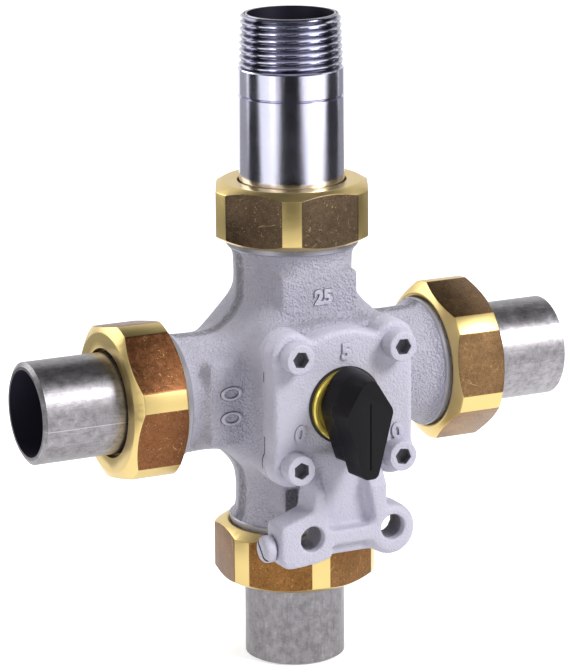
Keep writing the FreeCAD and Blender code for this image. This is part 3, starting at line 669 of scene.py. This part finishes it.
def body_blend_weights(points):
    """1 on the outer cast skin, 0 on machined faces, bores and the chamber, little on the pads' edges."""
    x, y, z = points.T
    along = np.maximum(np.abs(x), np.abs(z))
    weights = 1.0 - ramp(along, 0.0425, 0.0450)
    weights *= ramp(y, -0.0294, -0.0262)
    from_spindle = np.hypot(x, z)
    weights[(from_spindle < 0.0206) & (y < 0.0206)] = 0.0
    weights[(from_spindle < 0.0078) & (y < 0.0275)] = 0.0
    weights[np.hypot(x, y) < 0.0142] = 0.0
    weights[np.hypot(z, y) < 0.0142] = 0.0
    return weights * (1.0 - 0.6 * pad_mask(points))


def pad_mask(points):
    """1 on the flat pads at the front of the top, bottom and left necks."""
    x, y, z = points.T
    along = np.maximum(np.abs(x), np.abs(z))
    side = np.minimum(np.abs(x), np.abs(z))
    return ((1.0 - ramp(y, -0.0160, -0.0120)) * ramp(along, 0.0270, 0.0295) * (1.0 - ramp(side, 0.0150, 0.0165))
            * (x < 0.020))


def shoulder_weights(points):
    """1 in the four corners between the necks, where cover seat, webs, drum and necks run together."""
    x, y, z = points.T
    near = np.minimum(np.abs(x), np.abs(z))
    far = np.maximum(np.abs(x), np.abs(z))
    corner = ramp(near, 0.0125, 0.0165) * (1.0 - ramp(far, 0.036, 0.043))
    back = ramp(y, 0.0, 0.006) * ramp(near, 0.006, 0.012) * (1.0 - ramp(far, 0.036, 0.043))
    blended = body_blend_weights(points) * np.maximum(corner, back) * ramp(y, -0.0285, -0.0225)
    return blended * (1.0 - pad_mask(points))


def pad_plate(looks, port):
    """A flat pad on a neck's front: a block with its edges bevelled, the left one a little prouder."""
    axis = PORTS[port]
    deselect()
    centre = CENTRE + axis * (PAD_NEAR + PAD_FAR) / 2 + Vector((0, PAD_FACE + PAD_THICKNESS / 2, 0))
    bpy.ops.mesh.primitive_cube_add(size=1.0, location=centre)
    plate = bpy.context.object
    plate.name = "pad_" + port
    along = PAD_FAR - PAD_NEAR
    if port == "left":
        plate.scale = (along, PAD_THICKNESS + 2 * LEFT_PAD_RISE, PAD_WIDTH)
    else:
        plate.scale = (PAD_WIDTH, PAD_THICKNESS, along)
    settle(plate)
    bevel(plate, looks.pad_edge, 2, 60)
    return plate


def pocket_shadow(x, y, z):
    """Painted shadow in the pocket between the lower pad and the bracket."""
    across = 1.0 - ramp(np.abs(x + 0.0109), 0.0016, 0.0028)
    down = 1.0 - ramp(np.abs(z + 0.0362), 0.0036, 0.0052)
    return across * down * (y < -0.014)


class VALVE_OT_cast_body(bpy.types.Operator):
    """Blend the cast body's corners and paint it"""
    bl_idname = "valve.cast_body"
    bl_label = "Cast body"

    def execute(self, context):
        looks = looks_of(context)
        body = merged_copy("valve_body", "cast_body", "body")
        plates = [pad_plate(looks, port) for port in ("top", "bottom", "left")]
        only(body)
        for plate in plates:
            plate.select_set(True)
        bpy.ops.object.join()
        modify(body, "REMESH", mode="VOXEL", voxel_size=looks.body_mesh, adaptivity=0.0)
        set_group(body, "blend", body_blend_weights(points_of(body.data)))
        modify(body, "SMOOTH", factor=0.5, iterations=looks.body_blend, vertex_group="blend")
        set_group(body, "shoulders", shoulder_weights(points_of(body.data)))
        modify(body, "SMOOTH", factor=0.5, iterations=looks.shoulder_blend, vertex_group="shoulders")
        modify(body, "SMOOTH", factor=0.5, iterations=2)
        body.vertex_groups.clear()
        # Painted shade in the body's hollows, weaker on the far left neck, and painted shadow in the pocket
        # under the lower pad
        mark_crevices(body, 14, 0.0013, pocket_shadow, lambda x, y, z: 1.0 - 0.9 * ramp(-x, 0.035, 0.040))
        smooth_shade(body)
        give(body, paint_material("body_paint", looks, 1.9, 0.85, seam=True))
        bare = plain_material("machined_rim", looks.rim, 0.34, metallic=0.35, grain=2200.0)
        for port in PORTS:
            rim = port_ring("machined_rim_" + port, port, (0.0204, 0.0216, 0.02195, 0.0216, 0.0204),
                            (0.04635, 0.04635, 0.0468, 0.04840, 0.04840))
            smooth_shade(rim, 25)
            give(rim, bare)
            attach(rim, "body")
        return {"FINISHED"}


def cover_blend_weights(points):
    """1 on the bracket and its roots, 0 at holes, seats and the joint face."""
    x, y, z = points.T
    weights = 0.25 + 0.75 * ramp(-z, 0.009, 0.016)
    weights *= 1.0 - ramp(y, -0.0335, -0.0312)
    for side in (-1, 1):
        near = np.hypot(x - side * BRACKET_HOLE_OUT, z + BRACKET_HOLE_DOWN)
        weights *= ramp(near, 0.0045, 0.0056)
    weights[(np.hypot(x, z) < 0.0135)] = 0.0
    weights[np.hypot(y + 0.0376, z + 0.0452) < 0.0036] = 0.0
    return weights


def bracket_bore_shade(x, y, z):
    """Painted shade on the walls of the bracket's two holes, darker further in."""
    inside = np.zeros_like(x)
    for side in (-1, 1):
        near = np.hypot(x - side * BRACKET_HOLE_OUT, z + BRACKET_HOLE_DOWN)
        inside = np.maximum(inside, 1.0 - ramp(near, 0.0044, 0.0050))
    return inside * ramp(y, -0.0425, -0.0400)


def raised_text(name, words, place, height, turn, raise_by, material):
    """Raised figures on a face that looks towards the front."""
    deselect()
    bpy.ops.object.text_add(location=place, rotation=(math.pi / 2, turn, 0))
    text = bpy.context.object
    text.name = name
    text.data.body = words
    text.data.size = height * 1.4
    text.data.align_x = "CENTER"
    text.data.align_y = "CENTER"
    text.data.extrude = raise_by
    text.data.bevel_depth = 0.00012
    text.data.bevel_resolution = 1
    text.data.offset = 0.00028
    bpy.ops.object.convert(target="MESH")
    piece = bpy.context.object
    piece.name = name
    settle(piece)
    with editing(piece):
        bpy.ops.mesh.remove_doubles(threshold=1e-6)
    smooth_shade(piece, 50)
    give(piece, material)
    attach(piece, "body")


class VALVE_OT_cast_cover(bpy.types.Operator):
    """Blend the cover and its bracket, and add the dial's digits"""
    bl_idname = "valve.cast_cover"
    bl_label = "Cast cover"

    def joint_skin(self, looks):
        """The paint that bridges the joint round the gasket, split open in two places."""
        skin = merged_copy("cover_gasket", "joint_skin", "body")
        flattened(skin)
        low, high = (corner[1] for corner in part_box("cover_gasket"))
        middle = CENTRE + Vector((0, (low + high) / 2, 0))
        with editing(skin):
            bpy.ops.transform.resize(value=(1.0042, 4.4, 1.0042), center_override=middle)
        bevel(skin, 0.00035, 3, 50)
        smooth_shade(skin, 60)
        give(skin, split_paint_material("joint_paint", looks, middle))

    def execute(self, context):
        looks = looks_of(context)
        cover = merged_copy("cover_plate", "cast_cover", "body")
        modify(cover, "REMESH", mode="VOXEL", voxel_size=looks.cover_mesh, adaptivity=0.0)
        set_group(cover, "blend", cover_blend_weights(points_of(cover.data)))
        modify(cover, "SMOOTH", factor=0.5, iterations=looks.cover_blend, vertex_group="blend")
        modify(cover, "SMOOTH", factor=0.5, iterations=2)
        cover.vertex_groups.clear()
        # Painted shade in the cover's hollows and inside the bracket's holes
        mark_crevices(cover, 18, 0.0010, bracket_bore_shade)
        smooth_shade(cover)
        give(cover, paint_material("cover_paint", looks, 0.5, 0.7))
        # The digits get painted shade down their sideways-facing edges
        marks = paint_material("marks_paint", looks, 0.5, 0.0, edges=0.55)
        digits = (("digit_middle", "5", 0.0005, 0.0177, 0.0), ("digit_low", "0", -0.0163, -0.0081, 0.2),
                  ("digit_high", "10", 0.0174, -0.0120, -0.2))
        for name, words, x, z, turn in digits:
            place = CENTRE + Vector((x, DIAL_FACE, z))
            raised_text(name, words, place, looks.digit_height, turn, 0.00045, marks)
        self.joint_skin(looks)
        return {"FINISHED"}


class VALVE_OT_foundry_marks(bpy.types.Operator):
    """Add the raised rings and the size number cast on the pads"""
    bl_idname = "valve.foundry_marks"
    bl_label = "Foundry marks"

    def execute(self, context):
        looks = looks_of(context)
        # The rings and the number get painted shade down their sideways-facing edges
        paint = paint_material("foundry_marks_paint", looks, 0.5, 0.0, edges=0.95)
        for name, z in (("foundry_ring_upper", 0.0038), ("foundry_ring_lower", -0.0046)):
            deselect()
            bpy.ops.mesh.primitive_torus_add(
                location=CENTRE + Vector((-0.0328, PAD_FACE - LEFT_PAD_RISE, z)), rotation=(math.pi / 2, 0, 0),
                major_radius=0.0022, minor_radius=0.00062, major_segments=40, minor_segments=10)
            ring = bpy.context.object
            ring.name = name
            ring.scale = (1.45, 0.85, 1.2)
            settle(ring)
            with editing(ring):
                bpy.ops.mesh.bisect(plane_co=(0, PAD_FACE - 0.0001, 0), plane_no=(0, 1, 0), clear_outer=True)
                bpy.ops.mesh.bridge_edge_loops()
                bpy.ops.mesh.select_all(action="SELECT")
                bpy.ops.mesh.normals_make_consistent(inside=False)
            smooth_shade(ring, 50)
            give(ring, paint)
            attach(ring, "body")
        place = CENTRE + Vector((0.001, PAD_FACE - 0.0001, 0.0320))
        raised_text("size_number", "25", place, 0.0046, 0.0, 0.0003, paint)
        return {"FINISHED"}


# Turned and pressed pieces

class VALVE_OT_cover_screws(bpy.types.Operator):
    """Soften and paint the cover screws and the clamp screw"""
    bl_idname = "valve.cover_screws"
    bl_label = "Screws"

    def darken_socket(self, screw, along):
        """Mark the faces inside a screw's socket or slot, which the paint darkens as painted shade."""
        mesh = screw.data
        axis = "xyz".index(along)
        others = [k for k in range(3) if k != axis]
        co = np.array([vertex.co for vertex in mesh.vertices])
        middle = (co[:, others].max(axis=0) + co[:, others].min(axis=0)) / 2
        front = co[:, axis].min()
        inside = []
        for face in mesh.polygons:
            off = np.array([face.center[k] for k in others]) - middle
            sideward = np.array([face.normal[k] for k in others])
            depth = face.center[axis] - front
            if along == "y":
                inside.append(np.hypot(*off) < 0.0029 and 0.0003 < depth < 0.006)
            else:
                wall = abs(face.normal[axis]) < 0.05 and abs(abs(off @ sideward) - 0.00045) < 0.00012
                floor = face.normal[axis] < -0.95 and 0.0006 < depth < 0.0030
                inside.append(bool(wall and depth < 0.003) or floor)
        attribute = mesh.attributes.new("crevice", "FLOAT", "FACE")
        attribute.data.foreach_set("value", np.array(inside, dtype=np.float32))

    def execute(self, context):
        looks = looks_of(context)
        # Screw paint, with painted shade inside the sockets and slots
        paint = paint_material("screw_paint", looks, 0.45, 0.84)
        for name in ["cover_screw_" + place for place in SCREWS] + ["clamp_screw"]:
            screw = merged_copy(name, name + "_painted", "body")
            flattened(screw)
            bevel(screw, 0.00022, 3, 40)
            smooth_shade(screw, 35)
            self.darken_socket(screw, "x" if name == "clamp_screw" else "y")
            give(screw, paint)
        return {"FINISHED"}


def nut_turn(mesh, axis):
    """Angle of a nut's first flat about its port axis, read from its faces."""
    side, other = sideways(axis)
    total = Vector((0, 0))
    for face in mesh.polygons:
        normal = face.normal
        if abs(normal.dot(axis)) > 0.02 or abs((face.center - CENTRE).dot(normal) - NUT_FLAT) > 1e-5:
            continue
        angle = 6 * math.atan2(normal.dot(other), normal.dot(side))
        total += Vector((math.cos(angle), math.sin(angle))) * face.area
    return math.atan2(total.y, total.x) / 6


class VALVE_OT_union_nuts(bpy.types.Operator):
    """Round the edges of the union nuts and give them their brass"""
    bl_idname = "valve.union_nuts"
    bl_label = "Union nuts"

    def execute(self, context):
        looks = looks_of(context)
        for port, axis in PORTS.items():
            nut = merged_copy("union_nut_" + port, "union_nut_" + port + "_brass", "nut_" + port)
            turn = nut_turn(nut.data, axis)
            flattened(nut)
            bevel(nut, looks.nut_edge, 2, 18)
            smooth_shade(nut, 30)
            # Each nut's flats get their own painted light
            darkest = [own * shared for own, shared in zip(NUT_PAINTED_LIGHT[port], looks.brass_dull)]
            give(nut, brass_nut_material("nut_brass_" + port, looks, axis, turn, darkest))
        return {"FINISHED"}


class VALVE_OT_pipe_ends(bpy.types.Operator):
    """Give the plain pipe ends their drawn steel"""
    bl_idname = "valve.pipe_ends"
    bl_label = "Plain pipe ends"

    def execute(self, context):
        looks = looks_of(context)
        for port, lightness in PIPE_LIGHTNESS.items():
            steel = turned_metal_material(
                "pipe_steel_" + port, [part * lightness for part in looks.pipe], 0.37, PORTS[port],
                lines=2600.0, marked=0.9, bore=PIPE_BORE, mottle=0.7,
                weld=math.radians(-8) if port == "left" else None)
            give(frame["nodes"]["weld_nipple_" + port], steel)
        return {"FINISHED"}


def thread_coil(name, looks, base, top, base_radius, top_radius):
    """Model one thread section, run it up as a coil, taper it and trim it to the turned blank."""
    pitch = looks.thread_pitch
    depth = looks.thread_depth
    deselect()
    bpy.ops.mesh.primitive_plane_add(size=1.0, rotation=(math.pi / 2, 0, 0))
    coil = bpy.context.object
    coil.name = name
    coil.scale = (depth, pitch * 0.98, 1.0)
    coil.location = (base_radius - depth / 2, 0, 0)
    settle(coil)
    only(coil)
    bpy.ops.object.mode_set(mode="EDIT")
    bpy.ops.mesh.select_all(action="DESELECT")
    bpy.ops.object.mode_set(mode="OBJECT")
    for vertex in coil.data.vertices:
        vertex.select = vertex.co.x > base_radius - depth / 4
    bpy.ops.object.mode_set(mode="EDIT")
    bpy.ops.transform.resize(value=(1, 1, 0.16), center_override=(base_radius, 0, 0))
    bpy.ops.object.mode_set(mode="OBJECT")
    turns = math.ceil((top - base) / pitch) + 2
    modify(coil, "SCREW", axis="Z", angle=2 * math.pi, screw_offset=pitch, iterations=turns, steps=112,
           render_steps=112, use_merge_vertices=False)
    with editing(coil):
        bpy.ops.mesh.fill_holes(sides=4)
        bpy.ops.mesh.select_all(action="SELECT")
        bpy.ops.mesh.normals_make_consistent(inside=False)
    heights = [corner[2] for corner in coil.bound_box]
    span = max(heights) - min(heights)
    modify(coil, "SIMPLE_DEFORM", deform_method="TAPER", deform_axis="Z",
           factor=(top_radius / base_radius - 1.0) * span / (top - base))
    coil.location = CENTRE + Vector((0, 0, base - pitch))
    settle(coil)
    blank = turned_piece("thread_blank", [
        (base_radius - depth * 1.4, base - 0.0002), (base_radius - depth * 0.9, base - 0.0002),
        (base_radius + 0.0002, base + 0.0012), (top_radius + 0.0002, top - 0.0008),
        (top_radius - depth * 0.75, top), (top_radius - depth * 1.6, top)], sides=64)
    modify(coil, "BOOLEAN", operation="INTERSECT", object=blank, solver="EXACT")
    bpy.data.objects.remove(blank)
    with editing(coil):
        bpy.ops.mesh.remove_doubles(threshold=1e-6)
        bpy.ops.mesh.normals_make_consistent(inside=False)
    return coil


class VALVE_OT_threaded_end(bpy.types.Operator):
    """Turn the threaded end and cut its taper thread"""
    bl_idname = "valve.threaded_end"
    bl_label = "Threaded end"

    def execute(self, context):
        looks = looks_of(context)
        foot, rim = (corner[2] - CENTRE.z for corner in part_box("threaded_nipple"))
        base = rim - THREAD_LENGTH
        collar, pipe = 0.0192, 0.0175
        narrowing = (THREAD_FOOT - THREAD_RIM) / (THREAD_LENGTH - THREAD_GAP)
        steel = turned_metal_material(
            "machined_steel", looks.machined, 0.16, PORTS["top"], lines=7000.0, marked=0.15,
            ring_depth=0.000008, bore=PIPE_BORE, crests=(THREAD_FOOT, narrowing, base))
        groove = base - 0.0085
        root = looks.thread_depth
        end = turned_piece("threaded_end", [
            (PIPE_BORE, foot), (collar, foot), (collar, foot + 0.0040), (pipe, foot + 0.0040),
            (pipe, groove - 0.0009), (pipe - 0.00065, groove - 0.00065), (pipe - 0.00065, groove - 0.00035),
            (pipe, groove), (pipe, base - 0.0004), (pipe - 0.0003, base),
            (THREAD_FOOT - root, base + 0.0006), (THREAD_RIM - root, rim - 0.0006),
            (THREAD_RIM - root - 0.0004, rim), (PIPE_BORE, rim)])
        smooth_shade(end, 15)
        thread = thread_coil("taper_thread", looks, base, rim - THREAD_GAP, THREAD_FOOT, THREAD_RIM)
        smooth_shade(thread, 30)
        for piece in (end, thread):
            give(piece, steel)
            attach(piece, "body")
        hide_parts("threaded_nipple")
        return {"FINISHED"}


class VALVE_OT_gland(bpy.types.Operator):
    """Finish the gland bush and the ring under it"""
    bl_idname = "valve.gland"
    bl_label = "Gland"

    def execute(self, context):
        brass = turned_metal_material("gland_brass", (0.80, 0.62, 0.12), 0.2, Vector((0, 1, 0)), marked=0.2)
        brass.node_tree.nodes["Principled BSDF"].inputs["Metallic"].default_value = 0.55
        give(frame["nodes"]["gland_bush"], brass)
        give(frame["nodes"]["gland_seal"], plain_material("seal_rubber", (0.012, 0.012, 0.012), 0.55))
        return {"FINISHED"}


class VALVE_OT_knob(bpy.types.Operator):
    """Round the knob's edges and give it its plastic"""
    bl_idname = "valve.knob"
    bl_label = "Pointer knob"

    def execute(self, context):
        looks = looks_of(context)
        knob = merged_copy("knob", "pointer_knob", "rotor")
        flattened(knob)
        bevel(knob, 0.0005, 3, 28)
        smooth_shade(knob, 35)
        plastic = plain_material("knob_plastic", looks.plastic, 0.42, grain=2600.0, depth=0.00004)
        plastic.node_tree.nodes["Principled BSDF"].inputs["Specular IOR Level"].default_value = 0.16
        give(knob, plastic)
        return {"FINISHED"}


class VALVE_OT_inner_pieces(bpy.types.Operator):
    """Give the spindle, vane, bushes, seals and gaskets their finishes"""
    bl_idname = "valve.inner_pieces"
    bl_label = "Inner pieces"

    def execute(self, context):
        nodes = frame["nodes"]
        along = Vector((0, 1, 0))
        brass = turned_metal_material("spindle_brass", (0.72, 0.54, 0.20), 0.25, along)
        give(nodes["spindle"], brass)
        give(nodes["rear_bush"], brass)
        vane = plain_material("vane_brass", (0.55, 0.40, 0.17), 0.38, metallic=1.0, grain=700.0)
        give(nodes["rotor_vane"], vane)
        give(nodes["rotor_pin"], turned_metal_material("pin_steel", (0.6, 0.6, 0.6), 0.2, Vector((0, 0, 1))))
        give(nodes["thrust_washer"], plain_material("washer_plastic", (0.78, 0.77, 0.72), 0.45))
        rubber = bpy.data.materials["seal_rubber"]
        for name in ("inner", "outer"):
            give(nodes["spindle_seal_" + name], rubber)
        fibre = plain_material("gasket_fibre", (0.24, 0.30, 0.26), 0.75, grain=500.0, depth=0.0001)
        for port in PORTS:
            give(nodes["union_gasket_" + port], fibre)
        return {"FINISHED"}


# Stage

def area_light(name, place, size, power, target):
    """A soft rectangular lamp turned towards its target."""
    data = bpy.data.lights.new(name, "AREA")
    data.shape = "RECTANGLE"
    data.size = size[0]
    data.size_y = size[1]
    data.energy = power
    lamp = bpy.data.objects.new(name, data)
    bpy.context.scene.collection.objects.link(lamp)
    lamp.location = place
    lamp.rotation_euler = (Vector(target) - Vector(place)).to_track_quat("-Z", "Y").to_euler()
    return lamp


def reflector(name, place, size, shade, target):
    """A plain card that only shows in reflections."""
    deselect()
    bpy.ops.mesh.primitive_plane_add(size=1.0)
    card = bpy.context.object
    card.name = name
    card.scale = (size[0], size[1], 1.0)
    card.location = place
    card.rotation_euler = (Vector(target) - Vector(place)).to_track_quat("Z", "Y").to_euler()
    settle(card)
    material = bpy.data.materials.new(name)
    material.use_nodes = True
    tree = material.node_tree
    tree.nodes.clear()
    glow = node(tree, "ShaderNodeEmission", in_Color=(shade, shade, shade, 1.0), in_Strength=1.0)
    out = tree.nodes.new("ShaderNodeOutputMaterial")
    tree.links.new(glow.outputs[0], out.inputs[0])
    card.data.materials.append(material)
    card.visible_camera = False
    card.visible_diffuse = False
    card.visible_shadow = False
    card.visible_transmission = False
    return card


def floor_card(name, degrees, near, far, width, shade):
    """A card lying on the floor, its middle line this many degrees round from the camera's side."""
    direction = Matrix.Rotation(math.radians(degrees), 3, "Z") @ CAMERA_SIDE
    middle = direction * (near + far) / 2 + Vector((0, 0, 0.003))
    card = reflector(name, middle, (width, far - near), shade, middle + Vector((0, 0, 1)))
    turn = math.atan2(direction.y, direction.x) - math.pi / 2
    with editing(card):
        bpy.ops.transform.rotate(value=-turn, orient_axis="Z", orient_type="GLOBAL", center_override=middle)


def wall_card(name, degrees, distance, width, shade):
    """An upright card, this many degrees round from the camera's side."""
    direction = Matrix.Rotation(math.radians(degrees), 3, "Z") @ CAMERA_SIDE
    height = 1.4
    middle = Vector((0, 0, height / 2))
    reflector(name, direction * distance + middle, (width, height), shade, middle)


def seen_directly(tree):
    """1 for camera, glossy and transmitted rays, 0 for the light that falls on the valve."""
    path = tree.nodes.new("ShaderNodeLightPath")
    return maths(tree, "MAXIMUM", path.outputs["Is Camera Ray"],
                 maths(tree, "MAXIMUM", path.outputs["Is Glossy Ray"], path.outputs["Is Transmission Ray"]))


class VALVE_OT_stage(bpy.types.Operator):
    """Set the floor, the light, the cards and the camera"""
    bl_idname = "valve.stage"
    bl_label = "Stage"

    def execute(self, context):
        scene = context.scene
        middle = tuple(CENTRE)
        world = bpy.data.worlds.new("studio")
        world.use_nodes = True
        tree = world.node_tree
        tree.nodes.clear()
        strength = maths(tree, "MULTIPLY_ADD", seen_directly(tree), 0.76, 0.24)
        sky = node(tree, "ShaderNodeBackground", in_Color=(1.0, 1.0, 1.0, 1.0), in_Strength=strength)
        out = tree.nodes.new("ShaderNodeOutputWorld")
        tree.links.new(sky.outputs[0], out.inputs[0])
        scene.world = world

        deselect()
        bpy.ops.mesh.primitive_plane_add(size=8.0, location=(0, 0, 0))
        floor = bpy.context.object
        floor.name = "floor"
        material = bpy.data.materials.new("floor_white")
        material.use_nodes = True
        tree = material.node_tree
        shader = tree.nodes["Principled BSDF"]
        reach = length_of(tree, tree.nodes.new("ShaderNodeTexCoord").outputs["Object"])
        wire(tree, shader, Base_Color=(0.8, 0.8, 0.8, 1.0), Roughness=0.9, Emission_Color=(1.0, 1.0, 1.0, 1.0),
             Emission_Strength=product(tree, seen_directly(tree),
                                     steps_between(tree, reach, 0.7, 1.6, 0.62, 0.80)))
        floor.data.materials.append(material)

        area_light("key", (0.75, -0.95, 0.95), (0.5, 0.5), 17.0, middle)
        area_light("fill", (-1.1, -0.65, 0.35), (0.6, 0.8), 2.6, middle)
        area_light("top", (0.05, 0.15, 1.25), (0.8, 0.6), 5.5, middle).visible_glossy = False
        area_light("rear", (-0.6, 0.9, 0.6), (0.7, 0.7), 4.0, middle)
        for name, degrees, width, shade in (("front", 0, 1.30, 0.015), ("left", -89, 0.90, 0.04),
                                            ("left_rear", -128, 1.10, 0.42), ("right", 102, 1.25, 0.05),
                                            ("right_rear", 139, 0.95, 0.38)):
            wall_card(name + "_wall", degrees, 1.75, width, shade)
            floor_card(name + "_card", degrees, 0.42 if name == "front" else 0.30, 1.70, 0.6 * width, shade)
        reflector("ceiling_card", (0.0, 0.1, 1.45), (2.2, 2.2), 0.07, (0.0, 0.1, 0.0))
        reflector("dark_card_left", (-0.95, -0.75, 0.12), (0.35, 0.6), 0.02, middle)
        reflector("dark_card_right", (1.0, -0.35, 0.10), (0.30, 0.8), 0.03, middle)

        data = bpy.data.cameras.new("valve_view")
        data.sensor_width = 36.0
        data.lens = 186.626
        data.clip_end = 20.0
        camera = bpy.data.objects.new("valve_view", data)
        scene.collection.objects.link(camera)
        right = Vector((0.898149, -0.439624, -0.007685))
        up = Vector((0.116815, 0.221730, 0.968086))
        back = Vector((-0.423890, -0.870383, 0.250501))
        turn = Matrix((right, up, back)).transposed()
        camera.matrix_world = Matrix.Translation((-0.495176, -1.010013, 0.401956)) @ turn.to_4x4()
        scene.camera = camera
        scene.view_settings.view_transform = "Standard"
        return {"FINISHED"}


class VALVE_PT_looks(bpy.types.Panel):
    """Shows the sizes, the colours and the building steps"""
    bl_label = "Rotary mixing valve"
    bl_idname = "VALVE_PT_looks"
    bl_space_type = "VIEW_3D"
    bl_region_type = "UI"
    bl_category = "Valve"

    def draw(self, context):
        looks = looks_of(context)
        for key in ValveLooks.__annotations__:
            self.layout.prop(looks, key)
        for operator in OPERATORS:
            self.layout.operator(operator.bl_idname)


OPERATORS = (VALVE_OT_cast_body, VALVE_OT_cast_cover, VALVE_OT_foundry_marks, VALVE_OT_cover_screws,
             VALVE_OT_union_nuts, VALVE_OT_pipe_ends, VALVE_OT_threaded_end, VALVE_OT_gland, VALVE_OT_knob,
             VALVE_OT_inner_pieces, VALVE_OT_stage)


def register():
    for cls in (ValveLooks,) + OPERATORS + (VALVE_PT_looks,):
        bpy.utils.register_class(cls)
    bpy.types.Scene.valve_looks = bpy.props.PointerProperty(type=ValveLooks)


def unregister():
    del bpy.types.Scene.valve_looks
    for cls in reversed((ValveLooks,) + OPERATORS + (VALVE_PT_looks,)):
        bpy.utils.unregister_class(cls)


def main():
    register()
    for operator in OPERATORS:
        group, name = operator.bl_idname.split(".")
        getattr(getattr(bpy.ops, group), name)()


if __name__ == "__main__":
    main()
